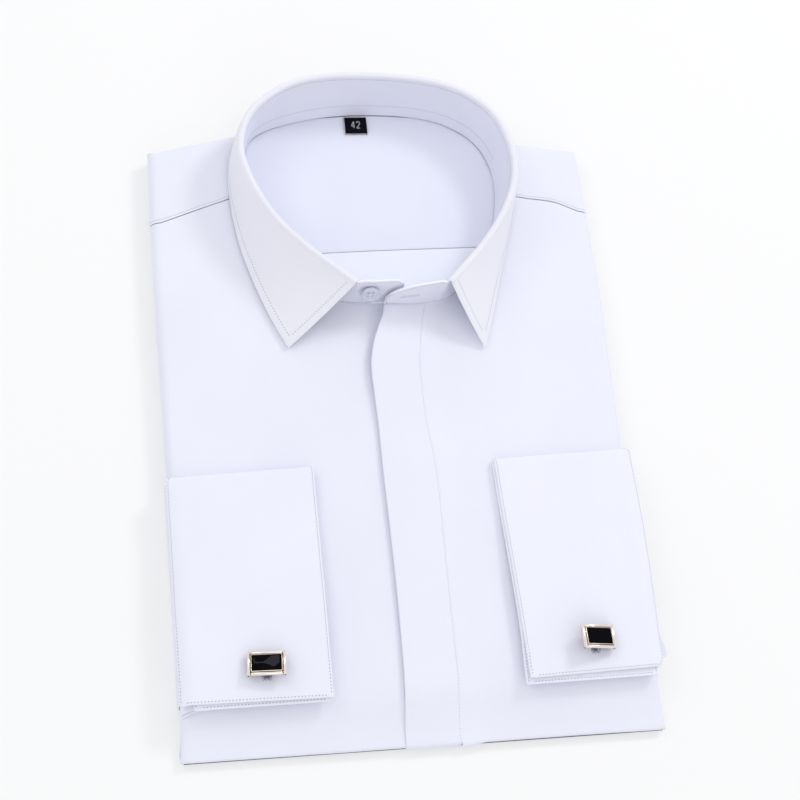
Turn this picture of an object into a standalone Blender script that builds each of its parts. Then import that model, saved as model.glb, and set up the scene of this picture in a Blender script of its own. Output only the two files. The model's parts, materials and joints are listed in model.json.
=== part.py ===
"""Long sleeve dress shirt with a fly front and double cuffs, folded and lying on its back.

Frame: +X to the wearer's left, +Y up the shirt towards the collar, +Z up off the table.
All working sizes are in millimetres in a frame whose zero is the middle of the folded hem;
at the end every piece hangs from one empty that carries it to the part's own origin, the
middle of the footprint on the table.  One named object is one piece a maker cuts or sews on.
"""
import math

import bmesh
import bpy
import numpy as np

MM = 0.001

# ---------------------------------------------------------------- driving sizes, mm
CLOTH = 1.2            # one panel with its turned seams, as a wall
SEAM = 0.3             # free space between two sewn pieces
BED = 11.5             # height of the surface that the body panels lie on
CORE_DROP = 0.65       # the folded layers end this far under the panels
CORE_TUCK = 0.5        # and this far behind the folded shoulder edge
TAIL_OUT = 1.1         # the turned-under tail shows this far past the right side at the hem
ROLL = 3.8             # fold radius at the bed surface, all round the bundle
# how square each corner of the bundle is in plan: 0 is a quarter circle, 1 a mitre
SQUARE = {(-1, -1): 0.8, (1, -1): 0.15, (-1, 1): 0.9, (1, 1): 0.9}
WRAP = 1.45            # how far panels go round a fold, 1 is upright
CROWN = 0.8            # the bundle is this much fuller in its middle
NECK_RISE = 1.6        # lift of the fronts where they meet the collar band

YOKE_DEPTH = {-1: 268.2, 1: 270.9}   # seam of the inside yoke at each side of the neck

PLACKET_THICK = 1.8
PLACKET_LIFT = 2.2     # the unbuttoned fly stands this much off the front at the neck
PLACKET_TOP = 235.6
UNDERLAP_X = 13.0      # the right front ends here, under the fly
UNDERLAP_TOP = 238.6

STAND_THICK = 1.6
LEAF_THICK = 1.6
FOLD_RADIUS = 1.15     # middle of the collar's cloth as it turns over the stand
LEAF_START = 0.4       # the leaf begins this far under the middle of its turn
BAND_END_ROUND = 11.0

CUFF_THICK = 2.0       # one half of a double cuff, four plies pressed together
CUFF_FOLD_GAP = 0.5    # between the two halves
CUFF_RISE = 2.7        # the toggle holds the cuff's open end up by this
CUFF_LENGTH = 118.5    # half of the cuff's round
CUFF_WIDTH = 73.0      # depth of the turned-back cuff, along the arm
BUTTONHOLE = (3.4, 15.0)

BUTTON_DIAMETER = 10.2
BUTTON_THICK = 2.2
BUTTON_AT = (-9.8, 237.15, 30.3)
BUTTON_TIP = 19.0      # the button hangs on its thread, its face turned up by this
LABEL_SIZE = (13.0, 11.0)
LABEL_TOP = (-4.3, 353.2)

LINK_FACE = (19.0, 13.2)      # the metal frame, outside
LINK_STONE = (15.6, 9.3)      # the window of its stone
LINK_POST = 1.15              # half the post's width
TOGGLE = (15.0, 5.0, 2.0)     # bar under the cuff

# the side folds: distance from the middle to the outside of the panels, by height up the shirt
SIDE = (
    # y, on the right side, on the left side
    (0.0, 123.2, 123.3),
    (22.0, 122.3, 122.4),
    (85.0, 121.6, 121.8),
    (150.0, 121.7, 122.0),
    (200.0, 121.8, 122.9),
    (240.0, 121.9, 123.5),
    (290.0, 121.4, 122.4),
    (334.0, 120.5, 121.6),
)

# the folded shoulder edge, outside of the yoke
TOP = (
    # x, y
    (-121.0, 333.2),
    (-103.0, 337.3),
    (-70.4, 344.6),
    (-63.5, 347.6),
    (-53.0, 352.8),
    (-34.0, 358.4),
    (0.0, 361.6),
    (36.0, 358.8),
    (51.0, 353.0),
    (62.0, 345.4),
    (73.0, 340.2),
    (86.7, 336.8),
    (121.0, 331.5),
)

# the seam between fronts and yoke
YOKE_SEAM = (
    # distance from the middle, y on the right, y on the left
    (66.0, 308.0, 305.0),
    (76.0, 304.4, 303.2),
    (92.0, 298.7, 300.2),
    (107.0, 293.2, 297.4),
    (114.0, 290.7, 294.2),
    (121.5, 288.0, 289.6),
)

# the fly: its free edge and its stitched side
FLY = (
    # y, free edge x, seam x
    (0.0, -11.8, 17.4),
    (25.0, -10.9, 17.3),
    (60.0, -10.1, 17.5),
    (100.0, -9.9, 18.0),
    (130.0, -10.2, 18.6),
    (152.0, -10.2, 17.9),
    (168.0, -10.1, 16.3),
    (202.0, -10.9, 16.4),
    (212.0, -9.0, 17.6),
    (221.0, -5.9, 19.0),
    (229.0, -2.4, 20.6),
    (236.0, -0.6, 22.8),
    (240.0, -0.4, 24.4),
)

# the collar, a row for each section from the wearer's right front round the back
COLLAR = (
    # base_x, base_y, fold_x, fold_y, fold_z, edge_x, edge_y, edge_z
    (-17.5, 239.2, -17.5, 240.3, 41.0, -53.7, 213.2, 15.6),
    (-28.0, 242.0, -27.0, 248.6, 41.2, -59.8, 226.0, 15.4),
    (-43.5, 252.5, -41.0, 260.8, 41.6, -67.6, 247.0, 15.3),
    (-59.0, 270.5, -57.8, 279.8, 42.2, -74.8, 274.0, 15.0),
    (-67.8, 292.0, -69.4, 304.0, 42.8, -77.7, 302.0, 14.6),
    (-69.8, 320.0, -71.6, 325.0, 43.2, -76.0, 325.6, 14.4),
    (-63.6, 340.2, -62.6, 343.4, 43.5, -66.4, 346.6, 13.6),
    (-34.5, 351.4, -37.0, 358.8, 43.6, -42.0, 365.4, 7.5),
    (2.0, 354.9, 2.0, 361.6, 43.6, 2.0, 368.6, 6.0),
    (39.0, 350.6, 42.0, 355.6, 43.6, 47.0, 362.4, 7.5),
    (61.2, 337.4, 65.0, 340.4, 43.5, 75.0, 346.8, 13.6),
    (70.2, 317.0, 73.9, 319.0, 43.2, 81.6, 321.0, 14.4),
    (68.8, 291.0, 73.0, 297.4, 42.8, 78.6, 296.0, 14.6),
    (61.0, 268.5, 64.4, 278.0, 42.2, 72.2, 272.0, 15.0),
    (49.0, 251.5, 51.4, 260.0, 41.6, 65.2, 249.0, 15.3),
    (37.0, 241.6, 39.6, 247.6, 41.2, 58.6, 227.0, 15.4),
    (30.0, 238.2, 31.5, 239.2, 41.0, 52.5, 209.6, 15.6),
)

# the two ends of the collar band past the leaf: middle of the wall
RIGHT_BAND_END = ((-8.0, 239.0), (1.0, 239.4), (6.5, 239.6))
LEFT_BAND_END = ((20.0, 236.9), (9.0, 236.0), (-1.0, 235.7))

# the cuffs where they lie; x is counted outward from the middle
CUFFS = (
    {"name": "right", "sign": -1.0,
     "open_end": ((121.7, 25.2), (48.9, 24.4)),      # outer corner, inner corner of the upper half
     "folded_end": ((121.6, 142.7), (48.0, 145.2)),
     "bulge": 0.0,            # of the outer edge
     "lower_in": (0.0, 0.6),  # the lower half shows past the upper one, at the fold and the open end
     "lower_past": (2.4, 1.4),        # and past its open end, at the outer and inner corner
     "clip": 0.0,                     # the outer corner is turned in by this
     "link": (41.8, 17.0, 0.0, 0.0)},         # in from the outer edge, up, turn and tip in degrees
    {"name": "left", "sign": 1.0,
     "open_end": ((122.2, 29.3), (53.3, 27.4)),
     "folded_end": ((122.5, 147.9), (49.4, 145.2)),
     "bulge": 1.4,
     "lower_in": (1.2, 2.4),
     "lower_past": (3.8, 2.6),
     "clip": 2.0,
     "link": (35.8, 16.6, -4.0, 20.0)},
)

# the sleeves' strips: where they end, and how far the end juts out
SLEEVES = (
    # name, sign, y_from, y_to, jut
    ("right", -1.0, 27.0, 142.0, 0.0),
    ("left", 1.0, 37.0, 145.0, 4.6),
)


# ---------------------------------------------------------------- small maths
def smooth(value):
    """A soft step from 0 to 1."""
    value = min(max(value, 0.0), 1.0)
    return value * value * (3.0 - 2.0 * value)


def lerp(a, b, share):
    return a + (b - a) * share


def table_at(rows, key):
    """Columns of a table at a key in its first column, on a smooth curve through the rows."""
    keys = [row[0] for row in rows]
    key = min(max(key, keys[0]), keys[-1])
    last = len(rows) - 2
    at = min(max(sum(1 for value in keys if value <= key) - 1, 0), last)
    span = keys[at + 1] - keys[at]
    share = (key - keys[at]) / span
    result = []
    for column in range(1, len(rows[0])):
        def slope(index):
            low = max(index - 1, 0)
            high = min(index + 1, len(rows) - 1)
            return (rows[high][column] - rows[low][column]) / (keys[high] - keys[low])
        first, second = rows[at][column], rows[at + 1][column]
        square, cube = share * share, share ** 3
        result.append((2 * cube - 3 * square + 1) * first
                      + (cube - 2 * square + share) * span * slope(at)
                      + (3 * square - 2 * cube) * second
                      + (cube - square) * span * slope(at + 1))
    return result


def with_arc_keys(rows):
    """Put the running length along a row's first two columns in front of it."""
    total = 0.0
    keyed = []
    for index, row in enumerate(rows):
        if index:
            total += math.dist(row[:2], rows[index - 1][:2])
        keyed.append((total,) + tuple(row))
    return keyed


# ---------------------------------------------------------------- the bundle's surface
def height(x, y):
    """Height of the surface that the body panels lie on."""
    across = max(1.0 - (x / 118.0) ** 2, 0.0)
    along = smooth(y / 70.0) * smooth((345.0 - y) / 70.0)
    near_neck = math.exp(-((x - 4.0) / 48.0) ** 2 - ((y - 236.0) / 40.0) ** 2)
    return BED + CROWN * across * along + NECK_RISE * near_neck


def side_x(y, sign):
    """Where the side fold starts to turn down, measured from the middle."""
    on_right, on_left = table_at(SIDE, y)
    return sign * ((on_right if sign < 0 else on_left) - ROLL - CLOTH)


def top_y(x):
    """Where the folded shoulder edge starts to turn down."""
    return table_at(TOP, x)[0] - ROLL - CLOTH


HEM_Y = ROLL + CLOTH


def around(side, end):
    """Offset in plan and turn in degrees for a point of the folds, corners included."""
    turn = 90.0 * max(abs(side), abs(end))
    if abs(side) >= abs(end):
        plan = 45.0 * (abs(end) / abs(side)) if side else 0.0
    else:
        plan = 90.0 - 45.0 * (abs(side) / abs(end))
    plan_x, plan_y = math.cos(math.radians(plan)), math.sin(math.radians(plan))
    if side and end:
        square = SQUARE[(math.copysign(1, side), math.copysign(1, end))]
        stretch = max(plan_x, plan_y) ** -square
        plan_x, plan_y = plan_x * stretch, plan_y * stretch
    return math.copysign(plan_x, side), math.copysign(plan_y, end), turn


def shell_point(x, y, side, end, off):
    """A point that is off millimetres out from the bed surface, round the folds as well."""
    top = height(x, y)
    if side == 0 and end == 0:
        return (x, y, top + off)
    plan_x, plan_y, turn = around(side, end)
    radius = ROLL + off
    reach = radius * math.sin(math.radians(turn))
    rise = radius * math.cos(math.radians(turn))
    return (x + plan_x * reach, y + plan_y * reach, top - ROLL + rise)


# ---------------------------------------------------------------- meshes
def material(name, colour, roughness, metallic=0.0):
    made = bpy.data.materials.new(name)
    made.use_nodes = True
    shader = made.node_tree.nodes["Principled BSDF"]
    shader.inputs["Base Color"].default_value = (*colour, 1.0)
    shader.inputs["Roughness"].default_value = roughness
    shader.inputs["Metallic"].default_value = metallic
    return made


def new_piece(name, points, faces, look, smooth_shading=True):
    """One closed body from millimetre points, hung from the shirt's empty."""
    mesh = bpy.data.meshes.new(name)
    mesh.from_pydata([[value * MM for value in point] for point in points], [], faces)
    work = bmesh.new()
    work.from_mesh(mesh)
    bmesh.ops.remove_doubles(work, verts=work.verts, dist=0.01 * MM)
    bmesh.ops.recalc_face_normals(work, faces=work.faces)
    work.to_mesh(mesh)
    work.free()
    mesh.materials.append(look)
    piece = bpy.data.objects.new(name, mesh)
    bpy.context.scene.collection.objects.link(piece)
    if smooth_shading:
        mesh.shade_smooth()
        mesh.set_sharp_from_angle(angle=math.radians(40))
    return piece


def grid_faces(rows, columns, start, skip, flip):
    faces = []
    for i in range(rows - 1):
        for j in range(columns - 1):
            if (i, j) in skip:
                continue
            a = start + i * columns + j
            quad = (a, a + 1, a + columns + 1, a + columns)
            faces.append(quad[::-1] if flip else quad)
    return faces


def wall(name, outer, inner, look, skip=()):
    """A closed cloth wall between two matching grids of points, with holes where cells are skipped."""
    rows, columns = len(outer), len(outer[0])
    points = [point for row in outer for point in row] + [point for row in inner for point in row]
    count = rows * columns
    front = grid_faces(rows, columns, 0, set(skip), False)
    back = grid_faces(rows, columns, count, set(skip), True)
    edges = {}
    for face in front:
        for a, b in zip(face, face[1:] + face[:1]):
            edges[(a, b)] = edges.get((a, b), 0) + 1
    rims = [(b, a, a + count, b + count) for (a, b) in edges if (b, a) not in edges]
    return new_piece(name, points, front + back + rims, look)


def thickened(name, middle, thickness, look, skip=()):
    """A wall whose middle surface is a grid of points; it is moved half a thickness each way."""
    grid = np.array(middle, dtype=float)
    along = np.gradient(grid, axis=0)
    across = np.gradient(grid, axis=1)
    normal = np.cross(along, across)
    normal /= np.linalg.norm(normal, axis=2, keepdims=True)
    outer = (grid + normal * thickness / 2).tolist()
    inner = (grid - normal * thickness / 2).tolist()
    return wall(name, outer, inner, look, skip)


# ---------------------------------------------------------------- stations used by every body piece
ROLL_STEPS = (0.25, 0.5, 0.75, 1.0, 1.22, WRAP)
# stations up a front, as shares of its length: closer where the fly leans over
LINE_SHARES = (0.0, 0.03, 0.09, 0.17, 0.27, 0.37, 0.47, 0.56, 0.63, 0.70, 0.78, 0.85, 0.895, 0.935, 0.97, 1.0)


def piece_from_lines(name, lines, off_low, off_high, look):
    """A panel from its lines of (x, y, side, end, extra offset) stations."""
    outer = [[shell_point(x, y, s, e, off_high + more) for x, y, s, e, more in line] for line in lines]
    inner = [[shell_point(x, y, s, e, off_low + more) for x, y, s, e, more in line] for line in lines]
    return wall(name, outer, inner, look)


# ---------------------------------------------------------------- the collar's lines
COLLAR_KEYED = with_arc_keys(COLLAR)
COLLAR_ROUND = COLLAR_KEYED[-1][0]
NECK_WIDEST_Y = 312.0
YOKE_JOINT_Y = 306.0         # about where the yoke seams run into the neck
RING = [table_at(COLLAR_KEYED, COLLAR_ROUND * step / 240)[:2] for step in range(241)]


def neck_at_x(x, front, out=0.0):
    """A point of the neck seam at an x, on its front or back half, moved out of the neck."""
    best = None
    for (ax, ay), (bx, by) in zip(RING, RING[1:]):
        if (ax - x) * (bx - x) > 0 or ax == bx:
            continue
        y = lerp(ay, by, (x - ax) / (bx - ax))
        if (y < NECK_WIDEST_Y) == front:
            run = math.hypot(bx - ax, by - ay)
            best = (x - out * (by - ay) / run, y + out * (bx - ax) / run)
    return best


def neck_at_y(y, sign, out=0.0):
    """A point of the neck seam at a y, on the side given by sign, moved out of the neck."""
    best = None
    for (ax, ay), (bx, by) in zip(RING, RING[1:]):
        if (ay - y) * (by - y) > 0 or ay == by:
            continue
        x = lerp(ax, bx, (y - ay) / (by - ay))
        if x * sign > 0:
            run = math.hypot(bx - ax, by - ay)
            best = (x - out * (by - ay) / run, y + out * (bx - ax) / run)
    return best


def yoke_seam_y(x):
    """The front yoke seam's y at an x outside the neck."""
    on_right, on_left = table_at(YOKE_SEAM, abs(x))
    return on_right if x < 0 else on_left


def neck_joint(sign):
    """Where the front yoke seam runs into the neck seam."""
    y = YOKE_JOINT_Y
    for _ in range(8):
        x, _ = neck_at_y(y, sign)
        y = yoke_seam_y(x)
    return x, y


def neck_rows_low(sign):
    """Heights below the yoke joint where every piece at the neck seam has a point on it."""
    return (242.6, 247.0, 256.0, 264.0, YOKE_DEPTH[sign], 281.0, 294.0)


NECK_ROWS_HIGH = (319.0, 329.0, 338.0, 345.0, 349.2, 351.6, 353.4)
NECK_OUT = SEAM / 2 + 0.05
YOKE_SEAM_SIDE_Y = 289.0     # about where the yoke seams reach the side folds


# ---------------------------------------------------------------- body pieces
def folded_core(look):
    """Back, sleeves and turned-under tails: the hidden layers as one solid, layered at its edges."""
    off = -CORE_DROP
    x_shares = [step / 7 - 1.0 for step in range(15)]
    y_shares = [step / 18 for step in range(19)]
    turns = (0.3, 0.6, 0.85, 1.1, 1.38)
    # the folded layers below the panels: how far out, how high
    layers = ((2.3, 4.3), (3.7, 4.0), (4.2, 3.2), (3.5, 2.4), (3.3, 2.1), (4.0, 1.5), (4.0, 0.7), (3.2, 0.0))

    def rim_stations(sign):
        turning = [(sign * turn, None) for turn in turns]
        below = [(sign * (2.0 + k), layer) for k, layer in enumerate(layers)]
        return turning + below

    across = [("rim", m, layer) for m, layer in reversed(rim_stations(-1))]
    across += [("flat", share, None) for share in x_shares]
    across += [("rim", m, layer) for m, layer in rim_stations(1)]
    along = [("rim", m, layer) for m, layer in reversed(rim_stations(-1))]
    along += [("flat", share, None) for share in y_shares]
    along += [("rim", m, layer) for m, layer in rim_stations(1)]

    def place(column, row):
        kind_a, a, layer_a = column
        kind_b, b, layer_b = row
        share_x = a if kind_a == "flat" else math.copysign(1.0, a)
        share_y = b if kind_b == "flat" else (0.0 if b < 0 else 1.0)
        side = a if kind_a == "rim" else 0.0
        end = b if kind_b == "rim" else 0.0
        guess = lerp(HEM_Y, top_y(share_x * side_x(0.0, 1)), share_y)
        x = side_x(guess, -1 if share_x < 0 else 1) * abs(share_x)
        y = lerp(HEM_Y, top_y(x) - CORE_TUCK, share_y)
        layer = layer_a if abs(side) >= abs(end) else layer_b
        if layer is None:
            return shell_point(x, y, side, end, off)
        reach, level = layer
        if side < 0 and level < BED - 2 * ROLL:
            reach += TAIL_OUT * (1.0 - smooth((y - 8.0) / 12.0))
        plan_x, plan_y, _ = around(side, end)
        return (x + plan_x * reach, y + plan_y * reach, level)

    grid = [[place(column, row) for row in along] for column in across]
    rows, columns = len(grid), len(grid[0])
    points = [point for line in grid for point in line]
    faces = grid_faces(rows, columns, 0, set(), True)
    left = [j for j in range(columns)]
    top = [i * columns + columns - 1 for i in range(1, rows)]
    right = [(rows - 1) * columns + j for j in range(columns - 2, -1, -1)]
    bottom = [i * columns for i in range(rows - 2, 0, -1)]
    faces.append(tuple(left + top + right + bottom))
    return new_piece("folded_core", points, faces, look)


def line_up(x_at, y_top, extra=None, wrap=WRAP):
    """Stations of one line of a front, from its turned-under hem up to its top seam."""
    turns = [turn for turn in ROLL_STEPS if turn <= wrap]
    places = [(HEM_Y, -turn) for turn in reversed(turns)]
    places += [(lerp(HEM_Y, y_top, share), 0.0) for share in LINE_SHARES]
    line = []
    for y, end in places:
        x = x_at(y)
        line.append((x, y, 0.0, end, extra(x, y) if extra else 0.0))
    return line


def straight(x):
    return lambda y: x


def down_side(sign):
    return lambda y: side_x(y, sign)


def with_side_roll(line, sign):
    """Lines that carry a panel round its side fold."""
    return [[(x, y, sign * turn, end, more) for x, y, _, end, more in line] for turn in ROLL_STEPS]


def side_line(sign):
    """A front's line along its side fold, up to the yoke seam."""
    return line_up(down_side(sign), yoke_seam_y(side_x(YOKE_SEAM_SIDE_Y, sign)) - SEAM / 2)


def front_right(look):
    """The wearer's right front: side fold, hem fold, yoke seam, neck seam, and its edge under the fly."""
    joint_x, joint_y = neck_joint(-1)
    gap = SEAM / 2
    side = side_line(-1)
    lines = list(reversed(with_side_roll(side, -1))) + [side]
    flat_x = side_x(YOKE_SEAM_SIDE_Y, -1)
    for share in (0.3, 0.6, 0.85):
        x = lerp(flat_x, joint_x, share)
        lines.append(line_up(straight(x), yoke_seam_y(x) - gap))
    lines.append(line_up(straight(joint_x - NECK_OUT), joint_y - gap))
    for y in reversed(neck_rows_low(-1)):
        x, y_top = neck_at_y(y, -1, NECK_OUT)
        lines.append(line_up(straight(x), y_top))
    lines.append(line_up(straight(-24.0), neck_at_x(-24.0, True, NECK_OUT)[1]))
    for x in (-12.0, 0.0, UNDERLAP_X):
        lines.append(line_up(straight(x), UNDERLAP_TOP))
    return piece_from_lines("front_right", lines, 0.0, CLOTH, look)


def fly_line(share):
    """x along the fly for a share of its width, as a function of y."""
    return lambda y: lerp(*table_at(FLY, y), share)


def fly_lift(x, y):
    """How far the fly's free edge stands off the front: a little all along, more at the neck."""
    free, seam = table_at(FLY, y)
    near_edge = 1.0 - smooth(1.25 * (x - free) / (seam - free))
    rise = 0.35 + PLACKET_LIFT * smooth((y - 175.0) / 60.0)
    return rise * near_edge * smooth((y + 6.0) / 30.0)


def placket_fly(look):
    """The covered front strip that hides the buttons."""
    lines = []
    for share in (0.0, 0.12, 0.3, 0.5, 0.75, 1.0):
        lines.append(line_up(fly_line(share), PLACKET_TOP + 1.6 * share, extra=fly_lift, wrap=1.0))
    base = CLOTH + SEAM
    return piece_from_lines("placket_fly", lines, base, base + PLACKET_THICK, look)


def front_left(look):
    """The wearer's left front, from the fly's stitched side to the side fold."""
    gap = SEAM / 2
    joint_x, joint_y = neck_joint(1)
    fly_seam = fly_line(1.0)
    seam_top_y = PLACKET_TOP + 2.0
    seam_top_x = fly_seam(seam_top_y) + SEAM

    def step_up(x, y):
        """The front is level with the fly at its seam."""
        beyond = x - fly_seam(y) - SEAM
        return (PLACKET_THICK - 0.1) * (1.0 - smooth(beyond / 13.0))

    def fan(x_top):
        """Lines near the fly follow its seam, those at the neck joint stand straight."""
        share = (x_top - seam_top_x) / (joint_x - seam_top_x)
        return lambda y: lerp(fly_seam(y) + SEAM, joint_x, share)

    tops = [(seam_top_x, seam_top_y)]
    tops += [neck_at_x(x, True, NECK_OUT) for x in (31.0, 34.5)]
    tops += [neck_at_y(y, 1, NECK_OUT) for y in neck_rows_low(1)]
    tops += [(joint_x + NECK_OUT, joint_y - gap)]
    lines = [line_up(fan(x_top), y_top, extra=step_up) for x_top, y_top in tops]
    flat_x = side_x(YOKE_SEAM_SIDE_Y, 1)
    for share in (0.15, 0.4, 0.7):
        x = lerp(joint_x, flat_x, share)
        lines.append(line_up(straight(x), yoke_seam_y(x) - gap))
    side = side_line(1)
    lines += [side] + with_side_roll(side, 1)
    return piece_from_lines("front_left", lines, 0.0, CLOTH, look)


def yoke_outer(look):
    """The shoulder piece: from the front seams up, round behind the collar and over the top fold."""
    gap = SEAM / 2
    stations = []
    right_joint, left_joint = neck_joint(-1), neck_joint(1)
    for share in (0.0, 0.3, 0.6, 0.85):
        x = lerp(side_x(YOKE_SEAM_SIDE_Y, -1), right_joint[0], share)
        stations.append((x, yoke_seam_y(x) + gap))
    stations.append((right_joint[0] - NECK_OUT, right_joint[1] + gap))
    stations += [neck_at_y(y, -1, NECK_OUT) for y in NECK_ROWS_HIGH]
    stations += [neck_at_x(x, False, NECK_OUT) for x in (-16.0, -5.0, 6.0, 17.0)]
    stations += [neck_at_y(y, 1, NECK_OUT) for y in reversed(NECK_ROWS_HIGH)]
    stations.append((left_joint[0] + NECK_OUT, left_joint[1] + gap))
    for share in (0.15, 0.4, 0.7, 1.0):
        x = lerp(left_joint[0], side_x(YOKE_SEAM_SIDE_Y, 1), share)
        stations.append((x, yoke_seam_y(x) + gap))
    lines = []
    for index, (x, y_low) in enumerate(stations):
        at_side = index in (0, len(stations) - 1)
        sign = -1 if x < 0 else 1
        line = []
        for share in (0.0, 0.33, 0.67, 1.0):
            y = lerp(y_low, top_y(x), share)
            line.append((side_x(y, sign) if at_side else x, y, 0.0, 0.0, 0.0))
        edge_x, edge_y = line[-1][:2]
        line += [(edge_x, edge_y, 0.0, turn, 0.0) for turn in ROLL_STEPS]
        lines.append(line)
    lines = list(reversed(with_side_roll(lines[0], -1))) + lines + with_side_roll(lines[-1], 1)
    return piece_from_lines("yoke_outer", lines, 0.0, CLOTH, look)


def inside_piece(name, rows, look, rounded=False):
    """A piece of the back seen through the neck, cut to the inside of the neck seam."""
    ends = [(neck_at_y(right_y, -1, -NECK_OUT), neck_at_y(left_y, 1, -NECK_OUT)) for right_y, left_y in rows]
    lines = []
    for share in [step / 10 for step in range(11)]:
        line = [(lerp(right[0], left[0], share), lerp(right[1], left[1], share), 0.0, 0.0, 0.0)
                for right, left in ends]
        if rounded:
            x, y = line[-1][:2]
            line.append((x, max(neck_at_x(x, False, -2 * NECK_OUT)[1], y + 0.1), 0.0, 0.0, 0.0))
        lines.append(line)
    return piece_from_lines(name, lines, 0.0, CLOTH, look)


def yoke_inner(look):
    """The inside yoke, from its seam with the back up to the neck seam."""
    rows = [(YOKE_DEPTH[-1] + SEAM, YOKE_DEPTH[1] + SEAM)]
    rows += [(y, y) for y in (281.0, 294.0, YOKE_JOINT_Y) + NECK_ROWS_HIGH[:-1] + (353.0,)]
    return inside_piece("yoke_inner", rows, look, rounded=True)


def back_panel(look):
    """The part of the back that shows down the neck, below the inside yoke."""
    rows = list(zip(neck_rows_low(-1)[:5], neck_rows_low(1)[:5]))
    return inside_piece("back_panel", rows, look)


# ---------------------------------------------------------------- collar
def collar_stations(steps):
    return [table_at(COLLAR_KEYED, COLLAR_ROUND * step / (steps - 1)) for step in range(steps)]


def collar_stand(look):
    """The band that stands on the neck seam, its left end lapped over its right one."""
    rest = CLOTH + SEAM + 0.25
    fold_drop = FOLD_RADIUS + LEAF_THICK / 2 + LEAF_START + 2 * SEAM
    sections = []
    for base_x, base_y, fold_x, fold_y, fold_z, _, _, _ in collar_stations(52):
        sections.append((base_x, base_y, fold_x, fold_y, fold_z - fold_drop, height(base_x, base_y) + rest))
    first, last = sections[0], sections[-1]
    fly_top = CLOTH + SEAM + PLACKET_THICK + 1.5 * SEAM

    def band_end(points, section, over_fly):
        """Sections past the leaf, with the free end rounded off."""
        made = []
        for index, (x, y) in enumerate(points):
            left_over = math.dist((x, y), points[-1])
            top_z = section[4] + 1.2
            if left_over < BAND_END_ROUND:
                inset = BAND_END_ROUND - left_over
                top_z -= BAND_END_ROUND - math.sqrt(BAND_END_ROUND ** 2 - (0.97 * inset) ** 2)
            low = height(x, y) + (fly_top + fly_lift(x, y) if over_fly else rest)
            lean = lerp(section[3] - section[1], 0.6, (index + 1) / len(points))
            made.append((x, y, x, y + lean, top_z, low))
        return made

    right_end = dense_path([first[:2]] + list(RIGHT_BAND_END), 7)
    left_end = dense_path([last[:2]] + list(LEFT_BAND_END), 9)
    front = band_end(right_end, first, False)
    back = band_end(left_end, last, True)
    blend = 3
    for index in range(blend):
        section = list(sections[-1 - index])
        x, y = section[0], section[1]
        full = height(x, y) + fly_top + fly_lift(x, y)
        section[5] = lerp(full, section[5], (index + 1) / (blend + 1))
        sections[-1 - index] = tuple(section)
    sections = list(reversed(front)) + sections + back
    middle = []
    for base_x, base_y, fold_x, fold_y, top_z, low_z in sections:
        line = []
        for share in (0.0, 0.3, 0.65, 1.0):
            line.append((lerp(base_x, fold_x, share), lerp(base_y, fold_y, share), lerp(low_z, top_z, share)))
        middle.append(line)
    return thickened("collar_stand", middle, STAND_THICK, look)


def dense_path(points, count):
    """Points after the first one of a smooth path, evenly spread."""
    keyed = with_arc_keys([tuple(point) for point in points])
    length = keyed[-1][0]
    return [tuple(table_at(keyed, length * (step + 1) / count)) for step in range(count)]


def collar_leaf(look):
    """The turned-down collar: over the top of the stand and down to its edge and points."""
    stations = collar_stations(52)
    count = len(stations)
    middle = []
    for index, (_, _, fold_x, fold_y, fold_z, edge_x, edge_y, edge_z) in enumerate(stations):
        before = stations[max(index - 1, 0)]
        after = stations[min(index + 1, count - 1)]
        run_x, run_y = after[2] - before[2], after[3] - before[3]
        size = math.hypot(run_x, run_y)
        out_x, out_y = -run_y / size, run_x / size
        centre_z = fold_z - FOLD_RADIUS - LEAF_THICK / 2
        line = [(fold_x, fold_y, centre_z - LEAF_START)]
        for angle in (180, 135, 90, 45, 0):
            reach = FOLD_RADIUS * (1.0 + math.cos(math.radians(angle)))
            rise = FOLD_RADIUS * math.sin(math.radians(angle))
            line.append((fold_x + out_x * reach, fold_y + out_y * reach, centre_z + rise))
        start = line[-1]
        drop = start[2] - edge_z
        bulge = 1.4 if 2 < index < count - 3 else 0.9
        control = (lerp(start[0], edge_x, 0.32) + out_x * bulge,
                   lerp(start[1], edge_y, 0.32) + out_y * bulge, start[2] - drop * 0.46)
        for share in (0.14, 0.32, 0.55, 0.78, 1.0):
            keep, mix, reach = (1 - share) ** 2, 2 * share * (1 - share), share ** 2
            line.append(tuple(keep * s + mix * c + reach * e
                              for s, c, e in zip(start, control, (edge_x, edge_y, edge_z))))
        middle.append(line)
    return thickened("collar_leaf", middle, LEAF_THICK, look)


def turned(name, profile, sides, look):
    """A solid turned about +Z from (radius, z) rows, first and last on the axis or capped flat."""
    points, faces = [], []
    for radius, z in profile:
        for side in range(sides):
            angle = math.tau * side / sides
            points.append((radius * math.cos(angle), radius * math.sin(angle), z))
    rings = len(profile)
    for ring in range(rings - 1):
        for side in range(sides):
            a, b = ring * sides + side, ring * sides + (side + 1) % sides
            faces.append((a, b, b + sides, a + sides))
    faces.append(tuple(reversed(range(sides))))
    faces.append(tuple((rings - 1) * sides + side for side in range(sides)))
    return new_piece(name, points, faces, look)


def collar_button(look):
    """The neck button on the right band end: a dished disc that hangs on its thread."""
    radius = BUTTON_DIAMETER / 2
    profile = ((radius - 0.7, 0.0), (radius, 0.6), (radius, 1.5), (radius - 0.5, BUTTON_THICK),
               (radius - 1.5, BUTTON_THICK), (radius - 2.0, 1.6), (0.4, 1.5))
    button = turned("collar_button", profile, 24, look)
    button.rotation_euler = (math.radians(90.0 - BUTTON_TIP), 0.0, 0.0)
    button.location = [value * MM for value in BUTTON_AT]
    return button


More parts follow.
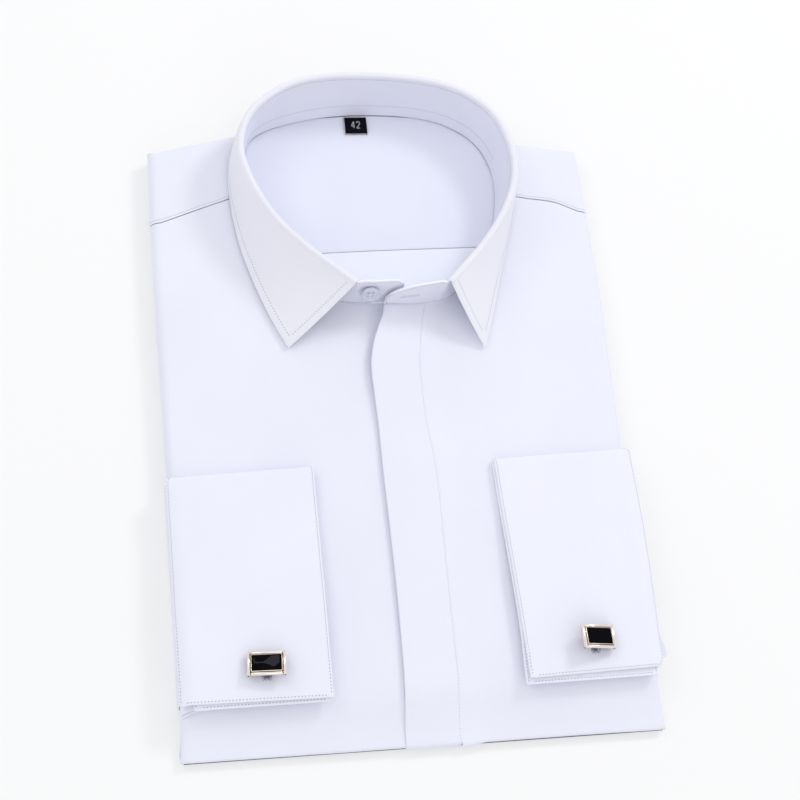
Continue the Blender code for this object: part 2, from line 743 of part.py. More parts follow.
def neck_label(look):
    """The small woven label on the inside yoke, under the middle of the neck seam."""
    width, length = LABEL_SIZE
    centre_x, top = LABEL_TOP
    lines = []
    for step in range(5):
        x = centre_x + width * (step / 4 - 0.5)
        line = []
        for row in range(4):
            y = top - length * row / 3
            line.append([x, y, 0.0, 0.0, 0.5 * math.sin(math.pi * row / 3) * (1 if row < 3 else 0)])
        lines.append(line)
    return piece_from_lines("neck_label", lines, CLOTH + SEAM, CLOTH + SEAM + 0.6, look)


# ---------------------------------------------------------------- sleeves, cuffs and links
def cuff_lift(up):
    """How far a cuff stands off the front: most at its open end, over the toggle."""
    return CUFF_RISE * smooth((CUFF_LENGTH - 12.0 - up) / 70.0)


def cuff_place(row, inward, up):
    """x and y on a cuff, from distances in from its outer edge and up from its open end."""
    across, along = inward / CUFF_WIDTH, up / CUFF_LENGTH
    at_open = [lerp(a, b, across) for a, b in zip(*row["open_end"])]
    at_fold = [lerp(a, b, across) for a, b in zip(*row["folded_end"])]
    x, y = [lerp(a, b, along) for a, b in zip(at_open, at_fold)]
    x += row["bulge"] * (1.0 - across) * math.sin(math.pi * min(max(along, 0.0), 1.0) ** 1.5)
    return row["sign"] * x, y


def cuff(row, look):
    """One double cuff pressed flat: lower half, fold at its top, upper half, with its two buttonholes."""
    half = CUFF_THICK / 2
    low_middle = CLOTH + SEAM + half
    turn = half + CUFF_FOLD_GAP / 2
    straight_end = CUFF_LENGTH - turn
    link_in, link_up = row["link"][:2]
    slot = (link_in - BUTTONHOLE[0] / 2, link_in + BUTTONHOLE[0] / 2)
    ups = [0.0, link_up - BUTTONHOLE[1] / 2, link_up + BUTTONHOLE[1] / 2]
    ups += [40.0, 58.0, 76.0, 94.0, 108.0, straight_end]
    path = [(up, "low") for up in ups]
    path += [(angle, "turn") for angle in (-45, 0, 45)]
    path += [(up, "high") for up in reversed(ups)]
    columns = [0.0, 4.5, 10.0, lerp(10.0, slot[0], 0.5), slot[0], slot[1],
               lerp(slot[1], CUFF_WIDTH, 0.33), lerp(slot[1], CUFF_WIDTH, 0.67), CUFF_WIDTH]

    def point(column, value, part):
        inward = columns[column]
        outer, inner = column == 0, column == len(columns) - 1
        up, high = value, 0.0 if part == "low" else 1.0
        if part == "turn":
            angle = math.radians(value)
            up = straight_end + turn * math.cos(angle)
            high = (1.0 + math.sin(angle)) / 2
        lift = 2 * turn * high
        x, y = cuff_place(row, inward, up)
        open_end = 1.0 - smooth(up / 30.0)
        if outer:
            # the lower half starts past the sleeve, the upper one droops over the side
            x -= row["sign"] * (lerp(5.2, 0.0, high) + row["clip"] * high * (up == 0.0))
        elif column == 1:
            x -= row["sign"] * lerp(3.2, 0.0, high)
        elif inner:
            x -= row["sign"] * lerp(*row["lower_in"], open_end) * (1.0 - high)
        droop = 0.0
        if outer and part == "high":
            droop = (1.2 + 0.6 * cuff_lift(up)) * smooth((CUFF_LENGTH - up) / 11.0)
        if up == 0.0:
            y -= lerp(*row["lower_past"], inward / CUFF_WIDTH) * (1.0 - high)
        return (x, y, height(x, y) + low_middle + cuff_lift(up) + lift - droop)

    order = range(len(columns)) if row["sign"] > 0 else range(len(columns) - 1, -1, -1)
    middle = [[point(column, value, part) for value, part in path] for column in order]
    slot_column = 4 if row["sign"] > 0 else len(columns) - 6
    skip = {(slot_column, 1), (slot_column, len(path) - 3)}
    return thickened("cuff_" + row["name"], middle, CUFF_THICK, look, skip)


def sleeve(row, look):
    """The sleeve's end where it comes round the side fold from underneath and runs into the cuff."""
    name, sign, y_from, y_to, jut = row
    low = CLOTH + 1.3 * SEAM
    turns = (0.28, 0.45, 0.65, 0.85, 1.0)
    below = ((6.4, 5.2), (6.3, 3.4), (6.0, 1.8), (5.6, 0.4))
    outer, inner = [], []
    for share in (0.0, 0.04, 0.08, 0.13, 0.2, 0.32, 0.45, 0.6, 0.75, 0.9, 1.0):
        y = lerp(y_from, y_to, share)
        x = side_x(y, sign) + sign * jut * (1.0 - smooth(share / 0.2))
        out_line = [shell_point(x, y, sign * turn, 0.0, low + CLOTH - 0.1) for turn in turns]
        in_line = [shell_point(x, y, sign * turn, 0.0, low) for turn in turns]
        for reach, z in below:
            out_line.append((x + sign * reach, y, z))
            in_line.append((x + sign * (reach - CLOTH + 0.1), y, z))
        outer.append(out_line)
        inner.append(in_line)
    return wall("sleeve_" + name, outer, inner, look)


def box_rings(rows):
    """Stacked rectangles (half width, half depth, z, corner cut) as the rings of one solid."""
    points, faces = [], []
    for half_x, half_y, z, cut in rows:
        short_x, short_y = half_x - cut, half_y - cut
        corner = ((half_x, short_y), (short_x, half_y), (-short_x, half_y), (-half_x, short_y),
                  (-half_x, -short_y), (-short_x, -half_y), (short_x, -half_y), (half_x, -short_y))
        points += [(x, y, z) for x, y in corner]
    for ring in range(len(rows) - 1):
        for k in range(8):
            a, b = ring * 8 + k, ring * 8 + (k + 1) % 8
            faces.append((a, b, b + 8, a + 8))
    faces.append(tuple(reversed(range(8))))
    faces.append(tuple((len(rows) - 1) * 8 + k for k in range(8)))
    return points, faces


def cufflink(row, metal, stone_look):
    """Frame, stone, and post with its toggle, through both halves of the cuff."""
    name = row["name"]
    link_in, link_up, turn_deg, tip_deg = row["link"]
    x, y = cuff_place(row, link_in, link_up)
    cuff_under = height(x, y) + CLOTH + SEAM + cuff_lift(link_up)
    cuff_top = cuff_under + 2 * CUFF_THICK + CUFF_FOLD_GAP
    half_x, half_y = LINK_FACE[0] / 2, LINK_FACE[1] / 2
    stone_x, stone_y = LINK_STONE[0] / 2, LINK_STONE[1] / 2
    stand_off = 1.2 + half_x * math.sin(math.radians(tip_deg))
    frame_rings = ((half_x - 1.4, half_y - 1.4, 0.0, 0.8), (half_x, half_y, 1.0, 1.0),
                   (half_x, half_y, 2.2, 1.0), (half_x - 0.8, half_y - 0.8, 3.0, 0.8),
                   (stone_x + 0.9, stone_y + 0.9, 3.3, 0.4), (stone_x + 0.3, stone_y + 0.3, 2.9, 0.2),
                   (stone_x + 0.3, stone_y + 0.3, 1.9, 0.2))
    stone_rings = ((stone_x - 0.1, stone_y - 0.1, 2.2, 0.2), (stone_x - 0.1, stone_y - 0.1, 3.0, 0.2),
                   (stone_x - 1.3, stone_y - 1.3, 3.5, 0.2))
    made = []
    for part, rings, look in (("frame", frame_rings, metal), ("stone", stone_rings, stone_look)):
        points, faces = box_rings(rings)
        piece = new_piece("cufflink_%s_%s" % (name, part), points, faces, look, smooth_shading=False)
        piece.location = (x * MM, y * MM, (cuff_top + stand_off) * MM)
        piece.rotation_euler = (0.0, math.radians(tip_deg), math.radians(turn_deg))
        made.append(piece)
    # post from just under the frame down through the buttonholes, with the toggle bar below
    bar_x, bar_y, bar_z = TOGGLE[0] / 2, TOGGLE[1] / 2, TOGGLE[2]
    bar_top = cuff_under - 1.4 * SEAM
    bar_low = bar_top - bar_z
    post_top = cuff_top + stand_off - 0.35 - LINK_POST * math.tan(math.radians(tip_deg))
    post_rings = ((bar_x - 0.6, bar_y - 0.6, bar_low, 1.0), (bar_x, bar_y, bar_low + 0.5, 1.2),
                  (bar_x, bar_y, bar_top - 0.5, 1.2), (bar_x - 0.6, bar_y - 0.6, bar_top, 1.0),
                  (LINK_POST, LINK_POST, bar_top + 0.05, 0.65),
                  (LINK_POST, LINK_POST, post_top, 0.65))
    piece = new_piece("cufflink_%s_post" % name, *box_rings(post_rings), metal, smooth_shading=False)
    piece.location = (x * MM, y * MM, 0.0)
    made.append(piece)
    return made


# ---------------------------------------------------------------- build
def main():
    for old in list(bpy.data.objects):
        bpy.data.objects.remove(old, do_unlink=True)
    cloth = material("shirt_cloth", (0.80, 0.82, 0.93), 0.72)
    inner_cloth = material("shirt_cloth_inside", (0.78, 0.80, 0.92), 0.74)
    collar_cloth = material("collar_cloth", (0.82, 0.82, 0.90), 0.66)
    label_weave = material("label_weave", (0.015, 0.015, 0.02), 0.8)
    pearl = material("button_pearl", (0.80, 0.80, 0.86), 0.25)
    metal = material("link_metal", (0.86, 0.74, 0.66), 0.18, 1.0)
    stone = material("link_stone", (0.01, 0.01, 0.012), 0.05)

    pieces = [folded_core(inner_cloth), front_right(cloth), front_left(cloth), placket_fly(cloth),
              yoke_outer(cloth), yoke_inner(inner_cloth), back_panel(inner_cloth)]
    pieces += [collar_stand(collar_cloth), collar_leaf(collar_cloth), collar_button(pearl),
               neck_label(label_weave)]
    for row in SLEEVES:
        pieces.append(sleeve(row, cloth))
    for row in CUFFS:
        pieces.append(cuff(row, cloth))
        pieces += cufflink(row, metal, stone)

    bpy.context.view_layer.update()
    low = np.full(3, np.inf)
    high = np.full(3, -np.inf)
    for piece in pieces:
        corners = np.array([piece.matrix_world @ vertex.co for vertex in piece.data.vertices])
        low = np.minimum(low, corners.min(axis=0))
        high = np.maximum(high, corners.max(axis=0))
    middle = (low + high) / 2
    shirt = bpy.data.objects.new("shirt", None)
    bpy.context.scene.collection.objects.link(shirt)
    shirt.location = (-middle[0], -middle[1], -low[2])
    for piece in pieces:
        piece.parent = shirt


main()
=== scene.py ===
"""Looks of the folded dress shirt: cloth shells, sewing, cufflinks, floor, light and camera.

Working sizes are millimetres in the shirt's own frame, whose zero is the middle of the folded
hem; SHIFT carries them to the part's frame.  The sizes and lines are the part's, with small
departures where the cloth looks thinner, squarer or looser than its solid.
"""
import json
import math
import random

import bpy
import numpy as np
from mathutils import Matrix, Vector

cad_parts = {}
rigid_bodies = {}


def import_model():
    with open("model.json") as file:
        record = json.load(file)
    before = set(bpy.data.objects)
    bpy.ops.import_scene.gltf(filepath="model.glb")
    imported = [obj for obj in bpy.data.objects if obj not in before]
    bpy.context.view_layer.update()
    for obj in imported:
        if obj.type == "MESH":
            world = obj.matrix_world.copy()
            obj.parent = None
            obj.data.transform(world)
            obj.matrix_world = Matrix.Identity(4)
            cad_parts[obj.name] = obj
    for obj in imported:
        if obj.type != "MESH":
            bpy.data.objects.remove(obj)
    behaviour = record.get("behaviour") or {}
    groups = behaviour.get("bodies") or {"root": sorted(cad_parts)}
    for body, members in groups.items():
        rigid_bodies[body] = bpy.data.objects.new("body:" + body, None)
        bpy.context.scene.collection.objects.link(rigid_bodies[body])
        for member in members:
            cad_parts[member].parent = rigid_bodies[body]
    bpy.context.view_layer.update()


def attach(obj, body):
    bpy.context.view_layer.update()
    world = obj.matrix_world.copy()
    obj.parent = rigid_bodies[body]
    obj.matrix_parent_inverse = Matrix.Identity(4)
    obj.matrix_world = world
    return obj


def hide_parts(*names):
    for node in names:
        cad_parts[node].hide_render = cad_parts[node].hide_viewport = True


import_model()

MM = 0.001
SHIFT = np.array([-2.2798, -183.7328, 0.0])   # from the folded hem's middle to the part's origin

# ---- the part's driving sizes, mm
CLOTH = 1.2              # thickness of the panels
SEAM = 0.3               # gap between neighbours
BED = 11.5               # top of the folded layers, under the panels
CORE_DROP = 0.65
CORE_TUCK = 0.5
TAIL_OUT = 1.1           # the layers stand out more beside the wearer's right tail
ROLL = 3.8               # radius of the side, hem and shoulder folds
SQUARE = {-1: 0.98, 1: 0.9}   # how square the folded corners are, hem and top
WRAP = 1.45              # how far cloth wraps round a fold, 1 for a quarter turn
CROWN = 0.8
NECK_RISE = 1.6
YOKE_DEPTH = {-1: 268.2, 1: 270.9}   # y of the inside yoke's lower edge, by side
PLACKET_THICK = 1.8
PLACKET_LIFT = 2.2
PLACKET_TOP = 235.6
UNDERLAP_X = 13.0
UNDERLAP_TOP = 238.6
STAND_THICK = 1.6
LEAF_THICK = 1.6
FOLD_RADIUS = 1.15
LEAF_START = 0.4
BAND_END_ROUND = 7.0
OUTER_BAND_ROUND = 20.0
CUFF_THICK = 2.0
CUFF_FOLD_GAP = 0.5
CUFF_RISE = 2.7
CUFF_LENGTH = 118.5
CUFF_WIDTH = 73.0
BUTTONHOLE = (2.9, 11.6)      # the sewn slit, inside the cut one
BUTTON_AT = (-9.8, 237.15, 30.3)
BUTTON_TIP = 19.0        # degrees back from upright
LABEL_SIZE = (13.0, 11.0)
LABEL_TOP = (-4.3, 353.2)
LINK_FACE = (19.4, 12.4)
LINK_STONE = (14.6, 8.0)

SIDE = (
    # y, right side fold, left side fold, from the middle
    (0.0, 123.6, 124.3), (22.0, 122.4, 122.6), (85.0, 121.6, 121.8), (150.0, 121.7, 122.0),
    (200.0, 121.8, 122.9), (240.0, 121.9, 123.5), (290.0, 121.4, 122.4), (334.0, 120.5, 121.6),
)
TOP = (
    # x, y of the folded shoulder edge
    (-121.0, 333.2), (-103.0, 337.3), (-70.4, 344.6), (-63.5, 347.6), (-53.0, 352.8),
    (-34.0, 358.4), (0.0, 361.6), (36.0, 358.8), (51.0, 353.0), (62.0, 345.4), (73.0, 340.2),
    (86.7, 336.8), (121.0, 331.5),
)
YOKE_SEAM = (
    # distance from the middle, y on the right, y on the left
    (66.0, 308.0, 305.0), (76.0, 304.4, 303.2), (92.0, 298.7, 300.2), (107.0, 293.2, 297.4),
    (114.0, 290.7, 294.2), (121.5, 288.0, 289.6),
)
FLY = (
    # y, free edge x, seam x
    (0.0, -11.8, 17.4), (25.0, -10.9, 17.3), (60.0, -10.1, 17.5), (100.0, -9.9, 18.0),
    (130.0, -10.2, 18.6), (152.0, -10.2, 17.9), (168.0, -10.1, 16.3), (202.0, -10.9, 16.4),
    (212.0, -9.0, 17.6), (221.0, -5.9, 19.0), (229.0, -2.4, 20.6), (236.0, -0.6, 22.8),
    (240.0, -0.4, 24.4),
)
COLLAR = (
    # base_x, base_y, fold_x, fold_y, fold_z, edge_x, edge_y, edge_z
    (-17.5, 239.2, -17.5, 240.3, 41.0, -53.7, 213.2, 15.6),
    (-28.0, 242.0, -27.0, 248.6, 41.2, -59.8, 226.0, 15.4),
    (-43.5, 252.5, -41.0, 260.8, 41.6, -67.6, 247.0, 15.3),
    (-59.0, 270.5, -57.8, 279.8, 42.2, -74.8, 274.0, 15.0),
    (-67.8, 292.0, -69.4, 304.0, 42.8, -77.7, 302.0, 14.6),
    (-69.8, 320.0, -71.6, 325.0, 43.2, -76.0, 325.6, 14.4),
    (-63.6, 340.2, -62.6, 343.4, 43.5, -66.4, 346.6, 13.6),
    (-34.5, 351.4, -37.0, 358.8, 43.6, -42.0, 365.4, 7.5),
    (2.0, 354.9, 2.0, 361.6, 43.6, 2.0, 368.6, 6.0),
    (39.0, 350.6, 42.0, 355.6, 43.6, 47.0, 362.4, 7.5),
    (61.2, 337.4, 65.0, 340.4, 43.5, 75.0, 346.8, 13.6),
    (70.2, 317.0, 73.9, 319.0, 43.2, 81.6, 321.0, 14.4),
    (68.8, 291.0, 73.0, 297.4, 42.8, 78.6, 296.0, 14.6),
    (61.0, 268.5, 64.4, 278.0, 42.2, 72.2, 272.0, 15.0),
    (49.0, 251.5, 51.4, 260.0, 41.6, 65.2, 249.0, 15.3),
    (37.0, 241.6, 39.6, 247.6, 41.2, 58.6, 227.0, 15.4),
    (30.0, 238.2, 31.5, 239.2, 41.0, 52.5, 209.6, 15.6),
)
RIGHT_BAND_END = ((-8.0, 239.0), (1.0, 239.4), (8.6, 239.7))
LEFT_BAND_END = ((20.0, 236.9), (9.0, 236.0), (-1.0, 235.7))
CUFFS = (
    {"name": "right", "sign": -1.0,
     "open_end": ((121.7, 25.2), (48.9, 24.4)), "folded_end": ((121.6, 142.7), (48.0, 145.2)),
     "bulge": 0.0, "lower_in": (0.0, 0.6), "lower_past": (2.4, 1.4), "clip": 0.0,
     "lower_out": 5.2, "upper_out": 1.2, "upper_in": 1.3, "link": (41.8, 17.0, -3.1, -8.3, -7.5)},
    {"name": "left", "sign": 1.0,
     "open_end": ((122.2, 29.3), (53.3, 27.4)), "folded_end": ((122.5, 147.9), (49.4, 145.2)),
     "bulge": 1.4, "lower_in": (1.2, 2.4), "lower_past": (3.8, 2.6), "clip": 3.4,
     "lower_out": 1.6, "upper_out": 1.6, "upper_in": 0.6, "link": (35.8, 16.6, 0.0, 19.2, -2.4)},
)
PLY_FLAT = 0.0101        # metres; the loose edges are cut from a piece this deep
SLEEVE_CORNER = (
    # x, y, z along the sleeve's loose corner beside the left cuff
    (123.9, 56.5, 11.0), (125.6, 51.3, 10.8), (126.9, 46.5, 10.6), (128.1, 42.2, 10.4),
    (129.0, 38.7, 10.2), (128.9, 36.9, 10.1), (127.6, 35.7, 10.0),
)
CORNER_PLIES = (
    # x, y, z along the upper and the lower loose edge
    ((-96.0, 25.3, 15.7), (-102.5, 24.9, 15.6), (-108.3, 24.7, 15.2), (-112.7, 24.5, 14.9),
     (-116.1, 23.9, 14.3), (-119.0, 23.2, 13.4), (-121.2, 22.5, 11.8), (-122.4, 22.0, 9.6)),
    ((-98.0, 23.9, 13.8), (-103.9, 23.5, 13.6), (-109.2, 23.5, 13.2), (-113.1, 23.2, 12.9),
     (-116.6, 22.6, 12.4), (-119.2, 21.7, 11.6), (-121.2, 21.1, 9.8), (-122.2, 20.8, 7.8)),
)
SLEEVES = (
    # name, sign, y_from, y_to, jut
    ("right", -1.0, 27.0, 142.0, 0.0),
    ("left", 1.0, 37.0, 145.0, 3.0),
)

# ---- sewing and cloth, mm
STITCH_PITCH = 1.7
STITCH_LONG = 0.9
THREAD = 0.23            # radius of a sewing thread
FINE_THREAD = 0.17
THREAD_LIFT = 0.05       # for threads that lie on others
WEAVE_PITCH = 0.30
LEAF_STITCH = 4.4        # from an edge or a seam to its topstitching
CUFF_STITCH = 2.1
STAND_STITCH = 1.1
BAND_STITCH = 1.6        # on the inside of the band's lapped ends
YOKE_STITCH = 1.5
FLY_STITCH = 1.3
PLY_PITCH = 0.85         # one layer of the folded rim
HEM_LOW = 1.5            # where the hanging hem ends above the table
HEM_LEAN = 2.0           # how far in its lower edge leans
HEM_THIN = 0.42          # how far the layers press together at the hem
HEM_RUN = 34.0           # and up to where
HEM_EDGE = 0.5           # 1 for a round hem fold, less for a squarer one
HEM_TUCK = 1.6           # the layers beneath stand back from the hanging hem
FLY_HEM_IN = 1.7         # the fly's hem is drawn back nearly level with the fronts'
FLY_WRAP = 1.32
FLY_TOP_SLANT = 1.6
PLY_RISE = 0.34


# ---- small maths
def smooth(value):
    value = np.clip(value, 0.0, 1.0)
    return value * value * (3.0 - 2.0 * value)


def lerp(a, b, share):
    return a + (b - a) * share


def table_at(rows, key):
    """Columns of a table at a key in its first column, on a smooth curve through the rows."""
    table = np.array(rows, float)
    return curve_at(table[:, 0], table[:, 1:], np.array([key]))[0]


def curve_at(keys, values, at):
    """Values of a smooth curve through rows of values, at new keys."""
    slopes = np.empty_like(values)
    spread = (slice(None),) + (None,) * (values.ndim - 1)
    slopes[1:-1] = (values[2:] - values[:-2]) / (keys[2:] - keys[:-2])[spread]
    slopes[0] = (values[1] - values[0]) / (keys[1] - keys[0])
    slopes[-1] = (values[-1] - values[-2]) / (keys[-1] - keys[-2])
    at = np.clip(at, keys[0], keys[-1])
    index = np.clip(np.searchsorted(keys, at, side="right") - 1, 0, len(keys) - 2)
    span = (keys[index + 1] - keys[index])
    share = ((at - keys[index]) / span)[spread]
    span = span[spread]
    square, cube = share ** 2, share ** 3
    return ((2 * cube - 3 * square + 1) * values[index] + (cube - 2 * square + share) * span * slopes[index]
            + (3 * square - 2 * cube) * values[index + 1] + (cube - square) * span * slopes[index + 1])


def running(path):
    """Length along a path, at each of its points."""
    return np.concatenate([[0.0], np.cumsum(np.linalg.norm(np.diff(path, axis=0), axis=1))])


def with_arc_keys(rows):
    """Put the running length along a row's first two columns in front of it."""
    table = np.array(rows, float)
    return np.column_stack([running(table[:, :2]), table])


def unit(vectors):
    return vectors / np.maximum(np.linalg.norm(vectors, axis=-1, keepdims=True), 1e-9)


# ---- the bundle's surface
CROWN_HALF = 118.0       # half the width of the crowned top
CROWN_END_Y = 345.0
CROWN_EASE = 70.0        # the crown dies out over this length at the hem and at the top
NECK_MID = (4.0, 236.0)
NECK_SPREAD = (48.0, 40.0)


def height(x, y):
    """Height of the surface that the body panels lie on."""
    across = np.maximum(1.0 - (x / CROWN_HALF) ** 2, 0.0)
    along = smooth(y / CROWN_EASE) * smooth((CROWN_END_Y - y) / CROWN_EASE)
    near_neck = np.exp(-((x - NECK_MID[0]) / NECK_SPREAD[0]) ** 2
                       - ((y - NECK_MID[1]) / NECK_SPREAD[1]) ** 2)
    return BED + CROWN * across * along + NECK_RISE * near_neck


def side_x(y, sign):
    on_right, on_left = table_at(SIDE, y)
    return sign * ((on_right if sign < 0 else on_left) - ROLL - CLOTH)


def top_y(x):
    return table_at(TOP, x)[0] - ROLL - CLOTH


HEM_Y = ROLL + CLOTH


def around(side, end):
    """Offset in plan and turn in degrees for a point of the folds, corners included."""
    turn = 90.0 * max(abs(side), abs(end))
    if abs(side) >= abs(end):
        plan = 45.0 * (abs(end) / abs(side)) if side else 0.0
    else:
        plan = 90.0 - 45.0 * (abs(side) / abs(end))
    plan_x, plan_y = math.cos(math.radians(plan)), math.sin(math.radians(plan))
    if side and end:
        stretch = max(plan_x, plan_y) ** -SQUARE[math.copysign(1, end)]
        plan_x, plan_y = plan_x * stretch, plan_y * stretch
    return math.copysign(plan_x, side), math.copysign(plan_y, end), turn


def hanging(plan_x, plan_y):
    """How far a point of the folds hangs over the hem, 0 on the side folds."""
    return plan_y ** 2 / (plan_x ** 2 + plan_y ** 2)


def pressed(y, z):
    """The layers lie pressed thin towards the hem."""
    return z * lerp(HEM_THIN, 1.0, smooth(y / HEM_RUN))


def shell_point(x, y, side, end, off):
    """A point that is off millimetres out from the bed surface, round the folds as well."""
    top = height(x, y)
    if side == 0 and end == 0:
        return (x, y, pressed(y, top + off))
    plan_x, plan_y, turn = around(side, end)
    radius = ROLL + off
    reach = radius * math.sin(math.radians(turn))
    rise = radius * math.cos(math.radians(turn))
    if end < 0:
        hang = hanging(plan_x, plan_y)
        if turn > 90.0:
            # the hem hangs almost straight down instead of curling under
            past = (turn / 90.0 - 1.0) / (WRAP - 1.0)
            reach = lerp(reach, radius - HEM_LEAN * past, hang)
            rise = lerp(rise, -past * (top - ROLL - HEM_LOW), hang)
        else:
            edge = lerp(1.0, HEM_EDGE, hang)
            reach = radius * (reach / radius) ** edge
            rise = radius * (rise / radius) ** edge
    return (x + plan_x * reach, y + plan_y * reach, pressed(y + plan_y * reach, top - ROLL + rise))


# ---- meshes
def linked(name, data):
    made = bpy.data.objects.new(name, data)
    bpy.context.scene.collection.objects.link(made)
    return made


def mesh_object(name, points, faces, look, uv=None, shade=True):
    """A mesh in the part's frame from points in the shirt's frame."""
    mesh = bpy.data.meshes.new(name)
    mesh.from_pydata(((np.asarray(points, float) + SHIFT) * MM).tolist(), [], faces)
    mesh.materials.append(look)
    if uv is not None:
        layer = mesh.uv_layers.new(name="cloth")
        corners = np.empty(len(mesh.loops), int)
        mesh.loops.foreach_get("vertex_index", corners)
        layer.data.foreach_set("uv", np.asarray(uv, float)[corners].ravel())
    mesh.polygons.foreach_set("use_smooth", [shade] * len(mesh.polygons))
    mesh.update()
    return linked(name, mesh)


def ring_quads(rings, count, outward=True):
    """Faces that join rings of one count of points, each ring to the next."""
    quads = []
    for start in range(0, (rings - 1) * count, count):
        for k in range(count):
            a, b = start + k, start + (k + 1) % count
            quads.append([a, b, b + count, a + count] if outward else [a, a + count, b + count, b])
    return quads


def finished(piece, slot_name, *nodes):
    """Every piece rides on the one body; some stand for nodes."""
    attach(piece, "root")
    if nodes:
        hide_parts(*nodes)
    return piece


def chord_keys(grid):
    """Running length along the first axis, averaged over the second."""
    runs = np.linalg.norm(np.diff(grid, axis=0), axis=2).mean(axis=1)
    return np.concatenate([[0.0], np.cumsum(np.maximum(runs, 1e-6))])


END_ROWS = ((0, slice(None)), (-1, slice(None)), (slice(None), 0), (slice(None), -1))
EDGE_AT = np.array([0.04, 0.14, 0.32, 0.6, 1.0])        # rows near a rounded edge, of its radius
PLY_SHARE = np.array([0.0, 0.25, 0.5, 0.76, 0.94, 1.0])  # thickness left there where two plies show
PLY_PULL = (0.62, 0.12, -0.08, -0.14, -0.08, 0.0)        # and how far the rows draw in, of the radius


def dense_keys(keys, step, low, high, fine):
    """The coarse keys, filled in to a step, with closer ones at rounded or finely layered ends."""
    steps = np.full(len(keys) - 1, step)
    if fine:
        steps[:fine[0]] = fine[1]
        steps[-fine[0]:] = fine[1]
    filled = [keys[:1]]
    for start, end, size in zip(keys[:-1], keys[1:], steps):
        count = max(2, math.ceil((end - start) / size))
        filled.append(lerp(start, end, np.arange(1, count + 1) / count))
    filled = np.concatenate(filled)
    if low:
        filled = np.concatenate([filled[:1], keys[0] + low * EDGE_AT, filled[filled > keys[0] + low * 1.25]])
    if high:
        close = keys[-1] - high * EDGE_AT[::-1]
        filled = np.concatenate([filled[filled < keys[-1] - high * 1.25], close, filled[-1:]])
    return filled


def edge_share(keys, radii, plies):
    """How much of the wall's thickness is left near its rounded ends, 0 at the very edge."""
    share = np.ones_like(keys)
    for radius, ply, away in zip(radii, plies, (keys - keys[0], keys[-1] - keys)):
        if radius:
            near = np.minimum(away / radius, 1.0)
            rounded = np.sqrt(1 - (1 - near) ** 2)
            plied = np.interp(near, np.append(0.0, EDGE_AT), PLY_SHARE)
            share = np.minimum(share, plied if ply else rounded)
    return share


